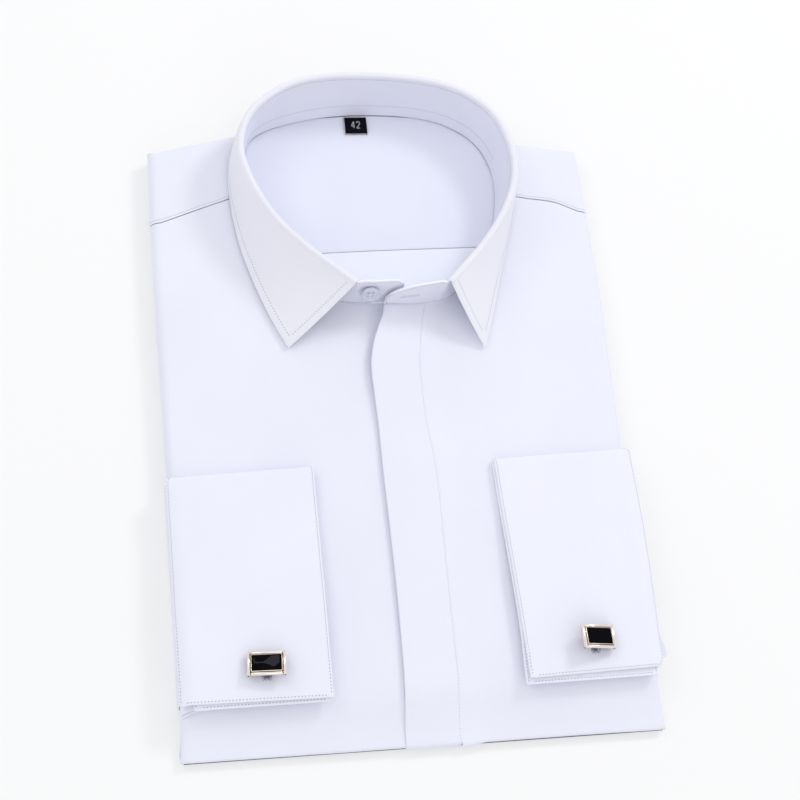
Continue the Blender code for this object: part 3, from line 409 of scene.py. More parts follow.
class Cloth:
    """A cloth wall as a dense grid: middle surface, half thickness, normals and keys in mm.

    The ends are u0, u1, v0 and v1.  Each has a rounding radius, and may show two plies.
    """

    def __init__(self, outer, inner, step, radii=(0.6,) * 4, plies=(0,) * 4, thickness=None, fine=None):
        middle = (outer + inner) / 2
        half = (outer - inner) / 2
        keys_u, keys_v = chord_keys(middle), chord_keys(middle.swapaxes(0, 1))
        self.coarse = (keys_u, keys_v)
        self.u = dense_keys(keys_u, step, *radii[:2], fine)
        self.v = dense_keys(keys_v, step, *radii[2:], fine)
        self.middle = self.refined(middle, keys_u, keys_v)
        if thickness is None:
            half = self.refined(half, keys_u, keys_v)
            self.half = np.linalg.norm(half, axis=2)
            self.normal = unit(half)
        else:
            self.normal = self.across(self.middle)
            self.half = np.full(self.middle.shape[:2], thickness / 2)
        self.share = np.minimum.outer(edge_share(self.u, radii[:2], plies[:2]),
                                      edge_share(self.v, radii[2:], plies[2:]))
        for end, radius, ply in zip(("u0", "u1", "v0", "v1"), radii, plies):
            if ply:
                rows = self.from_end(self.middle, end)
                inward = unit(rows[len(EDGE_AT)] - rows[0])
                for row, pull in enumerate(PLY_PULL):
                    rows[row] += inward * (pull * radius)

    @staticmethod
    def from_end(grid, end):
        """The grid seen with its first rows at one of its ends."""
        grid = grid if end[0] == "u" else grid.swapaxes(0, 1)
        return grid[::-1] if end[1] == "1" else grid

    def away(self, end):
        """Distance from one end and along it, over the grid, by the keys."""
        u = self.u[:, None] + 0 * self.v[None, :]
        v = self.v[None, :] + 0 * self.u[:, None]
        across, along = (u, v) if end[0] == "u" else (v, u)
        return (across.max() - across if end[1] == "1" else across), along

    def refined(self, grid, keys_u, keys_v):
        along = curve_at(keys_u, grid, self.u)
        return curve_at(keys_v, along.swapaxes(0, 1), self.v).swapaxes(0, 1)

    @staticmethod
    def across(middle):
        return unit(np.cross(np.gradient(middle, axis=0), np.gradient(middle, axis=1)))

    def relief(self, amount):
        """Move both faces along the normal."""
        self.middle = self.middle + self.normal * amount[..., None]

    def face(self, side):
        return self.middle + self.normal * (self.half * self.share * side)[..., None]

    def build(self, name, look, holes=()):
        """A closed mesh whose two faces meet in rounded edges; cells in holes are left open."""
        rows, columns = self.middle.shape[:2]
        outer, inner = self.face(1.0), self.face(-1.0)
        rim = np.zeros((rows, columns), bool)
        for row in END_ROWS:
            rim[row] = self.share[row].max() < 1e-6
        top = np.arange(rows * columns).reshape(rows, columns)
        low = np.where(rim, top, top + rows * columns)
        points = np.concatenate([outer.reshape(-1, 3), inner.reshape(-1, 3)])
        open_cells = np.zeros((rows - 1, columns - 1), bool)
        for u_low, u_high, v_low, v_high in holes:
            in_u = (self.u[:-1] >= u_low - 1e-6) & (self.u[1:] <= u_high + 1e-6)
            in_v = (self.v[:-1] >= v_low - 1e-6) & (self.v[1:] <= v_high + 1e-6)
            open_cells |= np.outer(in_u, in_v)
        keep = ~open_cells

        def quads(at, flip):
            cells = np.stack([at[:-1, :-1], at[1:, :-1], at[1:, 1:], at[:-1, 1:]], axis=2)[keep]
            return cells[:, ::-1] if flip else cells

        front, back = quads(top, False), quads(low, True)
        sides = []
        count = rows * columns
        directed = set()
        for cell in front.tolist():
            directed.update(zip(cell, cell[1:] + cell[:1]))
        for a, b in directed:
            if (b, a) not in directed:
                low_a, low_b = int(low.flat[a]), int(low.flat[b])
                if low_a != a or low_b != b:
                    ring = [b, a] + ([low_a] if low_a != a else []) + ([low_b] if low_b != b else [])
                    sides.append(ring)
        uv = np.column_stack([np.tile(np.repeat(self.u, columns), 2), np.tile(self.v, 2 * rows)])
        # painted highlight: points near an edge get a value that turns the cloth's colour paler there
        edge_highlight = np.tile((1.0 - self.share ** 2).ravel(), 2)   # how near each point is to an edge
        faces = front.tolist() + back.tolist() + sides
        used = np.unique(np.concatenate([np.array(f) for f in faces]))
        renumber = np.full(2 * count, -1)
        renumber[used] = np.arange(len(used))
        faces = [[int(renumber[k]) for k in face] for face in faces]
        made = mesh_object(name, points[used], faces, look, uv[used])
        mesh = made.data
        edge = mesh.attributes.new("edge", "FLOAT", "POINT")
        edge.data.foreach_set("value", edge_highlight[used])
        if sum(poly.area * poly.center.dot(poly.normal) for poly in mesh.polygons) < 0:
            mesh.flip_normals()
        return made

    def border(self, end, inset, side=1.0, between=None):
        """Points and normals of a row that runs at a true distance from one end of the grid."""
        face = self.from_end(self.face(side), end)
        normal = self.from_end(self.normal * side, end)
        if between:
            along = self.v if end[0] == "u" else self.u
            used = (along >= between[0]) & (along <= between[1])
            face, normal = face[:, used], normal[:, used]
        runs = np.linalg.norm(np.diff(face, axis=0), axis=2)
        reach = np.concatenate([np.zeros((1, face.shape[1])), np.cumsum(runs, axis=0)])
        points, normals = [], []
        for k in range(face.shape[1]):
            at = min(max(np.searchsorted(reach[:, k], inset), 1), len(reach) - 1)
            share = (inset - reach[at - 1, k]) / max(reach[at, k] - reach[at - 1, k], 1e-9)
            points.append(lerp(face[at - 1, k], face[at, k], min(share, 1.0)))
            normals.append(lerp(normal[at - 1, k], normal[at, k], min(share, 1.0)))
        return np.array(points), unit(np.array(normals))

    def at(self, u, v, side=1.0):
        """Point and normal of a face at keys."""
        i = min(max(int(np.searchsorted(self.u, u)) - 1, 0), len(self.u) - 2)
        j = min(max(int(np.searchsorted(self.v, v)) - 1, 0), len(self.v) - 2)
        a = (u - self.u[i]) / (self.u[i + 1] - self.u[i])
        b = (v - self.v[j]) / (self.v[j + 1] - self.v[j])
        face = self.face(side)
        mixed = [lerp(lerp(grid[i, j], grid[i + 1, j], a), lerp(grid[i, j + 1], grid[i + 1, j + 1], a), b)
                 for grid in (face, self.normal * side)]
        return mixed[0], mixed[1] / np.linalg.norm(mixed[1])


def from_lines(lines, off_low, off_high):
    """Both faces of a panel from its lines of (x, y, side, end, extra offset) stations."""
    outer = [[shell_point(x, y, s, e, off_high + more) for x, y, s, e, more in line] for line in lines]
    inner = [[shell_point(x, y, s, e, off_low + more) for x, y, s, e, more in line] for line in lines]
    return np.array(outer), np.array(inner)


# ---- soft unevenness of cloth
SWELL_WAVES = 5


def swell(x, y, wave, seed):
    """Gentle seeded waves of about one size, between -1 and 1."""
    source = random.Random(seed)
    total = np.zeros_like(x)
    for _ in range(SWELL_WAVES):
        angle = source.uniform(0.0, math.pi)
        size = wave * source.uniform(0.7, 1.5)
        phase = source.uniform(0.0, math.tau)
        total = total + np.sin((x * math.cos(angle) + y * math.sin(angle)) * math.tau / size + phase)
    return total / SWELL_WAVES


def swells(x, y, rows):
    """Several swells together: how much, size and seed of each."""
    return sum(much * swell(x, y, wave, seed) for much, wave, seed in rows)


CREASE_EASE = 3.5        # a crease comes up to its depth over 1 / 3.5 of its length


def creases(x, y, rows):
    """Soft troughs and ridges: each runs between two points with a bow, and dies out at its ends."""
    total = np.zeros_like(x)
    for x0, y0, x1, y1, bow, width, rise in rows:
        run = np.array([x1 - x0, y1 - y0])
        length = np.linalg.norm(run)
        run = run / length
        along = ((x - x0) * run[0] + (y - y0) * run[1]) / length
        away = -(x - x0) * run[1] + (y - y0) * run[0] - bow * 4 * along * (1 - along)
        fade = smooth(along * CREASE_EASE) * smooth((1 - along) * CREASE_EASE)
        spread = width * (0.8 + 0.4 * along)
        total = total + rise * fade * np.exp(-(away / spread) ** 2)
    return total


BODY_CREASES = (
    # x, y to x, y, bow, width, rise: troughs below zero, ridges above, all mm
    (-50.0, 232.0, -18.0, 203.0, 3.0, 5.0, 0.30),
    (-44.0, 224.0, -16.0, 198.0, 2.0, 4.5, -0.26),
    (-14.0, 236.0, -17.0, 208.0, 1.5, 3.5, -0.34),
    (-1.0, 240.0, -11.0, 211.0, -2.0, 3.2, -0.75),
    (6.0, 234.0, 9.0, 196.0, -2.0, 6.0, -0.30),
    (14.0, 233.0, 12.0, 203.0, 1.0, 4.0, 0.22),
    (30.0, 233.0, 38.0, 205.0, 2.0, 6.0, -0.28),
    (44.0, 224.0, 58.0, 190.0, -3.0, 9.0, 0.24),
    (-96.0, 322.0, -79.0, 299.0, 2.0, 4.5, -0.34),
    (-90.0, 328.0, -76.0, 309.0, 2.0, 4.0, 0.24),
    (84.0, 318.0, 98.0, 296.0, -2.0, 6.0, -0.26),
    (92.0, 282.0, 110.0, 215.0, 6.0, 12.0, 0.26),
    (-106.0, 268.0, -95.0, 178.0, -5.0, 13.0, 0.24),
    (-70.0, 190.0, -28.0, 168.0, 5.0, 12.0, -0.22),
    (-36.0, 140.0, -22.0, 48.0, 3.0, 9.0, 0.22),
    (34.0, 150.0, 41.0, 60.0, -2.0, 10.0, -0.22),
    (-104.0, 16.0, -40.0, 11.0, 2.0, 5.0, 0.20),
    (36.0, 17.0, 106.0, 13.0, -2.0, 5.0, 0.18),
)
INSIDE_CREASES = (
    (-48.0, 332.0, -20.0, 288.0, 5.0, 10.0, -0.40),
    (30.0, 338.0, 46.0, 284.0, -6.0, 9.0, 0.38),
    (-30.0, 281.0, 34.0, 286.0, 3.0, 8.0, 0.22),
    (-6.0, 330.0, 8.0, 300.0, 2.0, 12.0, -0.24),
)
UNDER_CREASES = (
    (-112.0, 40.0, -60.0, 150.0, 9.0, 3.0, -0.8),
    (-90.0, 205.0, -72.0, 330.0, -6.0, 3.5, -0.7),
    (70.0, 20.0, 84.0, 210.0, 6.0, 3.0, -0.8),
    (30.0, 240.0, 96.0, 318.0, 6.0, 3.2, -0.7),
    (-30.0, 60.0, 26.0, 48.0, 4.0, 2.6, -0.6),
    (-20.0, 180.0, 44.0, 196.0, -5.0, 3.4, -0.7),
)


BODY_SWELLS = ((0.17, 85.0, 3), (0.05, 30.0, 8))
GATHER_SIZES = (4.6, 6.7, 9.8)
GATHER_WANDER = 11.0
GATHER_EASE = 61.0       # gathers come and go over this length


def body_relief(cloth, rows=BODY_CREASES, much=1.0):
    """The same soft unevenness for all that lies on the bundle."""
    x, y = cloth.middle[..., 0], cloth.middle[..., 1]
    cloth.relief(much * swells(x, y, BODY_SWELLS) + creases(x, y, rows))


def gathers(cloth, end, rise, seed, reach=2.6):
    """Small gathers that sewing draws along an end, dying out away from it."""
    away, along = cloth.away(end)
    source = random.Random(seed)
    wave = 0.0
    for size in GATHER_SIZES:
        phase = source.uniform(0.0, math.tau)
        wave = wave + np.sin(along * math.tau / size + phase + 0.6 * np.sin(along / GATHER_WANDER))
    ease = 0.5 + 0.5 * np.sin(along * math.tau / GATHER_EASE + source.uniform(0.0, math.tau))
    cloth.relief(rise * (0.35 + ease) * wave / 2.2 * np.exp(-(away / reach) ** 2))


GROOVE_WIDE = 0.55


def sewn(cloth, end, inset, depth):
    """The groove that a row of stitches presses, and the fuller edge beyond it."""
    away, _ = cloth.away(end)
    groove = -depth * np.exp(-((away - inset) / GROOVE_WIDE) ** 2)
    fuller = 0.6 * depth * np.exp(-((away - 0.45 * inset) / (0.35 * inset)) ** 2)
    cloth.relief(groove + fuller)


# ---- materials
SLUB_DEEP = 0.0004       # metres
WEAVE_DEEP = 0.00006
# colour of the painted highlight along the cloth's edges
EDGE_PAINTED_HIGHLIGHT = (0.97, 0.975, 1.0, 1.0)
TONE_DARK = (0.985, 0.985, 0.992)
TONE_LIGHT = 1.012


def new_look(name, colour, roughness, **inputs):
    look = bpy.data.materials.new(name)
    look.use_nodes = True
    shader = look.node_tree.nodes["Principled BSDF"]
    shader.inputs["Base Color"].default_value = (*colour, 1.0)
    shader.inputs["Roughness"].default_value = roughness
    for key, value in inputs.items():
        shader.inputs[key.replace("_", " ")].default_value = value
    return look, look.node_tree, shader


def add_node(tree, kind, values=(), **wires):
    """A new node, with values on its inputs and wires from other nodes' outputs."""
    made = tree.nodes.new("ShaderNode" + kind)
    for key, value in dict(values).items():
        made.inputs[key].default_value = value
    for key, source in wires.items():
        tree.links.new(source, made.inputs[key.replace("_", " ")])
    return made


def add_ramp(tree, source, low, high, places=(0.0, 1.0)):
    """The colour that a value picks between two."""
    made = add_node(tree, "ValToRGB", Fac=source)
    for element, place, colour in zip(made.color_ramp.elements, places, (low, high)):
        element.position = place
        element.color = (*colour, 1.0)
    return made.outputs["Color"]


def product(tree, first, second):
    made = tree.nodes.new("ShaderNodeMath")
    made.operation = "MULTIPLY"
    tree.links.new(first, made.inputs[0])
    if isinstance(second, float):
        made.inputs[1].default_value = second
    else:
        tree.links.new(second, made.inputs[1])
    return made.outputs["Value"]


def cloth_look(name, colour, weave=0.25, slub=0.5, rough=0.78, edge_highlight=0.75):
    """Fine plain weave with slight unevenness of yarn and tone, and a painted highlight along pressed edges.
    """
    look, tree, shader = new_look(name, colour, rough, Sheen_Weight=0.12 if edge_highlight else 0.0,
                                  Sheen_Roughness=0.45, Specular_IOR_Level=0.28 if edge_highlight else 0.06)
    place = tree.nodes.new("ShaderNodeUVMap")
    place.uv_map = "cloth"
    threads = []
    for direction in "XY":
        wave = add_node(tree, "TexWave", {"Scale": math.tau / (20.0 * WEAVE_PITCH), "Distortion": 0.6,
                                          "Detail": 1.0, "Detail Scale": 0.4}, Vector=place.outputs["UV"])
        wave.wave_type = "BANDS"
        wave.bands_direction = direction
        threads.append(wave.outputs["Fac"])
    space = add_node(tree, "TexCoord").outputs["Object"]
    uneven = add_node(tree, "TexNoise", {"Scale": 90.0, "Detail": 4.0, "Roughness": 0.45}, Vector=space)
    soft = add_node(tree, "Bump", {"Strength": slub, "Distance": SLUB_DEEP}, Height=uneven.outputs["Fac"])
    fine = add_node(tree, "Bump", {"Strength": weave, "Distance": WEAVE_DEEP},
                    Height=product(tree, *threads), Normal=soft.outputs["Normal"])
    tree.links.new(fine.outputs["Normal"], shader.inputs["Normal"])
    tone = add_node(tree, "TexNoise", {"Scale": 22.0, "Detail": 3.0}, Vector=space)
    darker = [value * less for value, less in zip(colour, TONE_DARK)]
    lighter = [min(value * TONE_LIGHT, 1.0) for value in colour]
    # painted highlight: the base colour turns paler towards edges, following the edge attribute
    edge = tree.nodes.new("ShaderNodeAttribute")
    edge.attribute_name = "edge"
    bright = tree.nodes.new("ShaderNodeMix")
    bright.data_type = "RGBA"
    bright.inputs[7].default_value = EDGE_PAINTED_HIGHLIGHT
    tree.links.new(product(tree, edge.outputs["Fac"], edge_highlight), bright.inputs[0])
    tree.links.new(add_ramp(tree, tone.outputs["Fac"], darker, lighter, (0.3, 0.7)), bright.inputs[6])
    tree.links.new(bright.outputs[2], shader.inputs["Base Color"])
    return look


def noised_look(name, colour, rough, noise, bump=None, colours=None, **inputs):
    """A shader whose roughness follows a noise, as may its relief and its colour.

    noise is the scale, the least and greatest roughness, and the distortion.
    """
    look, tree, shader = new_look(name, colour, rough, **inputs)
    scale, low, high, distortion = noise
    texture = add_node(tree, "TexNoise", {"Scale": scale, "Detail": 4.0, "Distortion": distortion},
                       Vector=add_node(tree, "TexCoord").outputs["Object"])
    spread = add_node(tree, "MapRange", {"To Min": low, "To Max": high}, Value=texture.outputs["Fac"])
    tree.links.new(spread.outputs["Result"], shader.inputs["Roughness"])
    if bump:
        relief = add_node(tree, "Bump", dict(zip(("Strength", "Distance"), bump)),
                          Height=texture.outputs["Fac"])
        tree.links.new(relief.outputs["Normal"], shader.inputs["Normal"])
    if colours:
        tree.links.new(add_ramp(tree, texture.outputs["Fac"], *colours), shader.inputs["Base Color"])
    return look


def thread_look(name, colour):
    return noised_look(name, colour, 0.5, (2600.0, 0.42, 0.62, 0.0), (0.5, 0.00005))


def pearl_look():
    """Pale translucent button with a faint swirl."""
    return noised_look("button_pearl", (0.74, 0.75, 0.84), 0.2, (420.0, 0.14, 0.3, 2.0), None,
                       ((0.60, 0.61, 0.72), (0.68, 0.69, 0.78)), Subsurface_Weight=0.15,
                       Subsurface_Radius=(0.002, 0.002, 0.002), Coat_Weight=0.4)


def metal_look(name, dull, bright):
    """Polished metal with hairline wear."""
    return noised_look(name, bright, 0.2, (700.0, 0.12, 0.30, 0.0), (0.12, 0.00003), (dull, bright),
                       Metallic=1.0)


def stone_look(name, colour):
    """Polished black onyx."""
    return noised_look(name, colour, 0.06, (240.0, 0.04, 0.10, 0.0), (0.03, 0.00002),
                       Specular_IOR_Level=0.03)


LOOKS = {
    "cloth": cloth_look("shirt_cloth", (0.828, 0.836, 0.934)),
    # a darker copy of the shirt cloth: painted shade for the inside of the neck and the folded layers
    "inside": cloth_look("shirt_cloth_inside", (0.795, 0.812, 0.915)),
    "collar": cloth_look("collar_cloth", (0.838, 0.838, 0.905), weave=0.2),
    "cuff": cloth_look("cuff_cloth", (0.845, 0.85, 0.948)),
    # these threads are darker than the white cloth: their grey is painted shade of the stitch holes and
    # grooves
    "thread": thread_look("sewing_thread_painted_shade", (0.42, 0.42, 0.55)),
    "faint_shade_thread": thread_look("fly_thread_painted_shade", (0.66, 0.66, 0.79)),
    "dark_shade_thread": thread_look("cuff_thread_painted_shade", (0.36, 0.36, 0.48)),
    "pale_thread": thread_look("label_thread", (0.86, 0.86, 0.92)),
    # a darker copy of the cloth: painted shade for the collar stand
    "stand": cloth_look("collar_stand_cloth_painted_shade", (0.80, 0.80, 0.895), weave=0.2),
    # a lighter copy of the cloth: painted light for the back seen through the neck
    "back": cloth_look("shirt_cloth_back_painted_light", (0.85, 0.87, 0.95)),
    "label": cloth_look("label_weave_black", (0.004, 0.004, 0.007), weave=0.6, slub=0.3, rough=0.8,
                        edge_highlight=0.0),
    "pearl": pearl_look(),
    "metal": metal_look("link_rose_gold", (0.88, 0.78, 0.70), (0.99, 0.94, 0.88)),
    # dark metal: the dark joints between the bars, plus painted shade below the bars and at their lower
    # corners
    "dark_joint_and_shade_metal": metal_look("link_dark_base_and_painted_shade", (0.05, 0.035, 0.03), (0.16, 0.11, 0.09)),
    "stone": stone_look("link_onyx", (0.003, 0.003, 0.004)),
    # a paler copy of the onyx: painted reflection on the stone's facet
    "facet": stone_look("link_onyx_painted_reflection", (0.030, 0.026, 0.034)),
}

# ---- stations used by every body piece
ROLL_STEPS = (0.25, 0.5, 0.75, 1.0, 1.22, WRAP)
LINE_SHARES = (0.0, 0.03, 0.09, 0.17, 0.27, 0.37, 0.47, 0.56, 0.63, 0.70, 0.78, 0.85, 0.895, 0.935, 0.97, 1.0)
COLLAR_KEYED = with_arc_keys(COLLAR)
COLLAR_ROUND = COLLAR_KEYED[-1][0]
NECK_WIDEST_Y = 312.0
YOKE_JOINT_Y = 306.0
NECK_ROWS_HIGH = (319.0, 329.0, 338.0, 345.0, 349.2, 351.6, 353.4)
NECK_OUT = SEAM / 2 + 0.05
YOKE_SEAM_SIDE_Y = 289.0
COLLAR_STEPS = 52
NECK_STEPS = 241


def collar_stations(steps):
    return curve_at(COLLAR_KEYED[:, 0], COLLAR_KEYED[:, 1:], COLLAR_ROUND * np.arange(steps) / (steps - 1))


RING = collar_stations(NECK_STEPS)[:, :2]


def neck_at(value, axis, wanted, out):
    """Where the neck's ring crosses an x (axis 0) or a y (axis 1), moved out from the ring."""
    best = None
    for a, b in zip(RING, RING[1:]):
        if (a[axis] - value) * (b[axis] - value) > 0 or a[axis] == b[axis]:
            continue
        place = lerp(a, b, (value - a[axis]) / (b[axis] - a[axis]))
        place[axis] = value
        if wanted(*place):
            run_x, run_y = b - a
            run = math.hypot(run_x, run_y)
            best = (place[0] - out * run_y / run, place[1] + out * run_x / run)
    return best


def neck_at_x(x, front, out=0.0):
    return neck_at(x, 0, lambda _, y: (y < NECK_WIDEST_Y) == front, out)


def neck_at_y(y, sign, out=0.0):
    return neck_at(y, 1, lambda x, _: x * sign > 0, out)


def yoke_seam_y(x):
    on_right, on_left = table_at(YOKE_SEAM, abs(x))
    return on_right if x < 0 else on_left


def neck_joint(sign):
    y = YOKE_JOINT_Y
    for _ in range(8):
        x, _ = neck_at_y(y, sign)
        y = yoke_seam_y(x)
    return x, y


def neck_rows_low(sign):
    return (242.6, 247.0, 256.0, 264.0, YOKE_DEPTH[sign], 281.0, 294.0)


def line_up(x_at, y_top, extra=None, wrap=WRAP, hem_y=HEM_Y):
    """Stations of one line of a panel, from its wrapped hem up; x_at is a number or follows y."""
    turns = [turn for turn in ROLL_STEPS if turn < wrap] + [wrap]
    places = [(hem_y, -turn) for turn in reversed(turns)]
    places += [(lerp(hem_y, y_top, share), 0.0) for share in LINE_SHARES]
    line = []
    for y, end in places:
        x = x_at(y) if callable(x_at) else x_at
        line.append((x, y, 0.0, end, extra(x, y) if extra else 0.0))
    return line


def with_side_roll(line, sign):
    return [[(x, y, sign * turn, end, more) for x, y, _, end, more in line] for turn in ROLL_STEPS]


def side_line(sign):
    return line_up(lambda y: side_x(y, sign), yoke_seam_y(side_x(YOKE_SEAM_SIDE_Y, sign)) - SEAM / 2)


def along_seam(start_x, end_x, shares, above):
    """Places beside the yoke's front seam, above it (1) or below (-1)."""
    spread = [lerp(start_x, end_x, share) for share in shares]
    return [(x, yoke_seam_y(x) + above * SEAM / 2) for x in spread]


# ---- body pieces
UNDERLAP_XS = (-12.0, 0.0, UNDERLAP_X)
UNDERLAP_STEP = 0.55     # the strip under the fly lies this much lower
UNDERLAP_EDGE = 1.6      # the step's width
UNDERLAP_FROM_X = -12.4
UNDERLAP_SHIFT = 4.6     # the step runs out to the fly's free edge towards the neck
SLANT_X = -24.0          # a line between the neck and the underlap


def front_right():
    joint_x, joint_y = neck_joint(-1)
    side = side_line(-1)
    tops = along_seam(side_x(YOKE_SEAM_SIDE_Y, -1), joint_x, (0.3, 0.6, 0.85), -1)
    tops += [(joint_x - NECK_OUT, joint_y - SEAM / 2)]
    tops += [neck_at_y(y, -1, NECK_OUT) for y in reversed(neck_rows_low(-1))]
    tops += [(SLANT_X, neck_at_x(SLANT_X, True, NECK_OUT)[1])]
    tops += [(x, UNDERLAP_TOP) for x in UNDERLAP_XS]
    lines = with_side_roll(side, -1)[::-1] + [side] + [line_up(*top) for top in tops]
    cloth = Cloth(*from_lines(lines, 0.0, CLOTH), step=2.2)
    x, y = cloth.middle[..., 0], cloth.middle[..., 1]
    step_x = UNDERLAP_FROM_X + UNDERLAP_SHIFT * smooth((y - 196.0) / 40.0)
    cloth.relief(-UNDERLAP_STEP * smooth((x - step_x) / UNDERLAP_EDGE) * smooth((y - 188.0) / 26.0))
    return cloth


FLY_LIFT = 0.9           # at the free edge, where PLACKET_LIFT adds to it towards the neck


def fly_lift(x, y):
    free, seam = table_at(FLY, y)
    near_edge = 1.0 - smooth(1.25 * (x - free) / (seam - free))
    rise = FLY_LIFT + PLACKET_LIFT * smooth((y - 160.0) / 60.0)
    return rise * near_edge * smooth((y + 6.0) / 30.0)


def placket_fly():
    lines = []
    for share in (0.0, 0.12, 0.3, 0.5, 0.75, 1.0):
        at = lambda y, share=share: lerp(*table_at(FLY, y), share)
        lines.append(line_up(at, PLACKET_TOP + FLY_TOP_SLANT * share, fly_lift, FLY_WRAP,
                             HEM_Y + FLY_HEM_IN))
    base = CLOTH + SEAM
    return Cloth(*from_lines(lines, base, base + PLACKET_THICK), step=1.6,
                 radii=(0.9, 0.35, 0.6, 0.6), plies=(1, 0, 1, 0))


def front_left():
    joint_x, joint_y = neck_joint(1)
    fly_seam = lambda y: table_at(FLY, y)[1]
    seam_top_y = PLACKET_TOP + 2.0
    seam_top_x = fly_seam(seam_top_y) + SEAM

    def step_up(x, y):
        beyond = x - fly_seam(y) - SEAM
        return (PLACKET_THICK + 0.05) * (1.0 - smooth(beyond / 13.0))

    def fan(x_top):
        share = (x_top - seam_top_x) / (joint_x - seam_top_x)
        return lambda y: lerp(fly_seam(y) - 0.25, joint_x, share)

    tops = [(seam_top_x, seam_top_y)]
    tops += [neck_at_x(x, True, NECK_OUT) for x in (31.0, 34.5)]
    tops += [neck_at_y(y, 1, NECK_OUT) for y in neck_rows_low(1)]
    tops += [(joint_x + NECK_OUT, joint_y - SEAM / 2)]
    lines = [line_up(fan(x_top), y_top, step_up) for x_top, y_top in tops]
    tops = along_seam(joint_x, side_x(YOKE_SEAM_SIDE_Y, 1), (0.15, 0.4, 0.7), -1)
    side = side_line(1)
    lines += [line_up(*top) for top in tops] + [side] + with_side_roll(side, 1)
    return Cloth(*from_lines(lines, 0.0, CLOTH), step=2.6, radii=(0.2, 0.6, 0.6, 0.6))


def yoke_outer():
    (right_x, right_y), (left_x, left_y) = neck_joint(-1), neck_joint(1)
    stations = along_seam(side_x(YOKE_SEAM_SIDE_Y, -1), right_x, (0.0, 0.3, 0.6, 0.85), 1)
    stations += [(right_x - NECK_OUT, right_y + SEAM / 2)]
    stations += [neck_at_y(y, -1, NECK_OUT) for y in NECK_ROWS_HIGH]
    stations += [neck_at_x(x, False, NECK_OUT) for x in (-16.0, -5.0, 6.0, 17.0)]
    stations += [neck_at_y(y, 1, NECK_OUT) for y in reversed(NECK_ROWS_HIGH)]
    stations += [(left_x + NECK_OUT, left_y + SEAM / 2)]
    stations += along_seam(left_x, side_x(YOKE_SEAM_SIDE_Y, 1), (0.15, 0.4, 0.7, 1.0), 1)
    lines = []
    for index, (x, y_low) in enumerate(stations):
        at_side = index in (0, len(stations) - 1)
        sign = -1 if x < 0 else 1
        line = []
        for share in (0.0, 0.33, 0.67, 1.0):
            y = lerp(y_low, top_y(x), share)
            line.append((side_x(y, sign) if at_side else x, y, 0.0, 0.0, 0.0))
        edge_x, edge_y = line[-1][:2]
        line += [(edge_x, edge_y, 0.0, turn, 0.0) for turn in ROLL_STEPS]
        lines.append(line)
    lines = with_side_roll(lines[0], -1)[::-1] + lines + with_side_roll(lines[-1], 1)
    return Cloth(*from_lines(lines, 0.0, CLOTH), step=1.8)


def inside_piece(rows, rounded=False):
    ends = [(neck_at_y(right_y, -1, -NECK_OUT), neck_at_y(left_y, 1, -NECK_OUT)) for right_y, left_y in rows]
    lines = []
    for share in [step / 10 for step in range(11)]:
        line = [(lerp(right[0], left[0], share), lerp(right[1], left[1], share), 0.0, 0.0, 0.0)
                for right, left in ends]
        if rounded:
            x, y = line[-1][:2]
            line.append((x, max(neck_at_x(x, False, -2 * NECK_OUT)[1], y + 0.1), 0.0, 0.0, 0.0))
        lines.append(line)
    return Cloth(*from_lines(lines, 0.0, CLOTH), step=2.2)


def yoke_inner():
    rows = [(YOKE_DEPTH[-1] + SEAM, YOKE_DEPTH[1] + SEAM)]
    rows += [(y, y) for y in (281.0, 294.0, YOKE_JOINT_Y) + NECK_ROWS_HIGH[:-1] + (353.0,)]
    return inside_piece(rows, rounded=True)


def back_panel():
    return inside_piece(list(zip(neck_rows_low(-1)[:5], neck_rows_low(1)[:5])))


# ---- collar
def dense_path(points, count):
    keyed = with_arc_keys(points)
    return curve_at(keyed[:, 0], keyed[:, 1:], keyed[-1, 0] * np.arange(1, count + 1) / count)


CLEAR = 0.12             # between cloth that lies on cloth
BAND_END_STEPS = (7, 16)   # right and left lapped end
BAND_END_RISE = 1.2
BAND_END_LEAN = 0.6
BAND_END_CUT = 0.97      # of the end's rounding, so that some height is left at the very end
BAND_BLEND = 3           # sections over which the left half climbs onto the fly


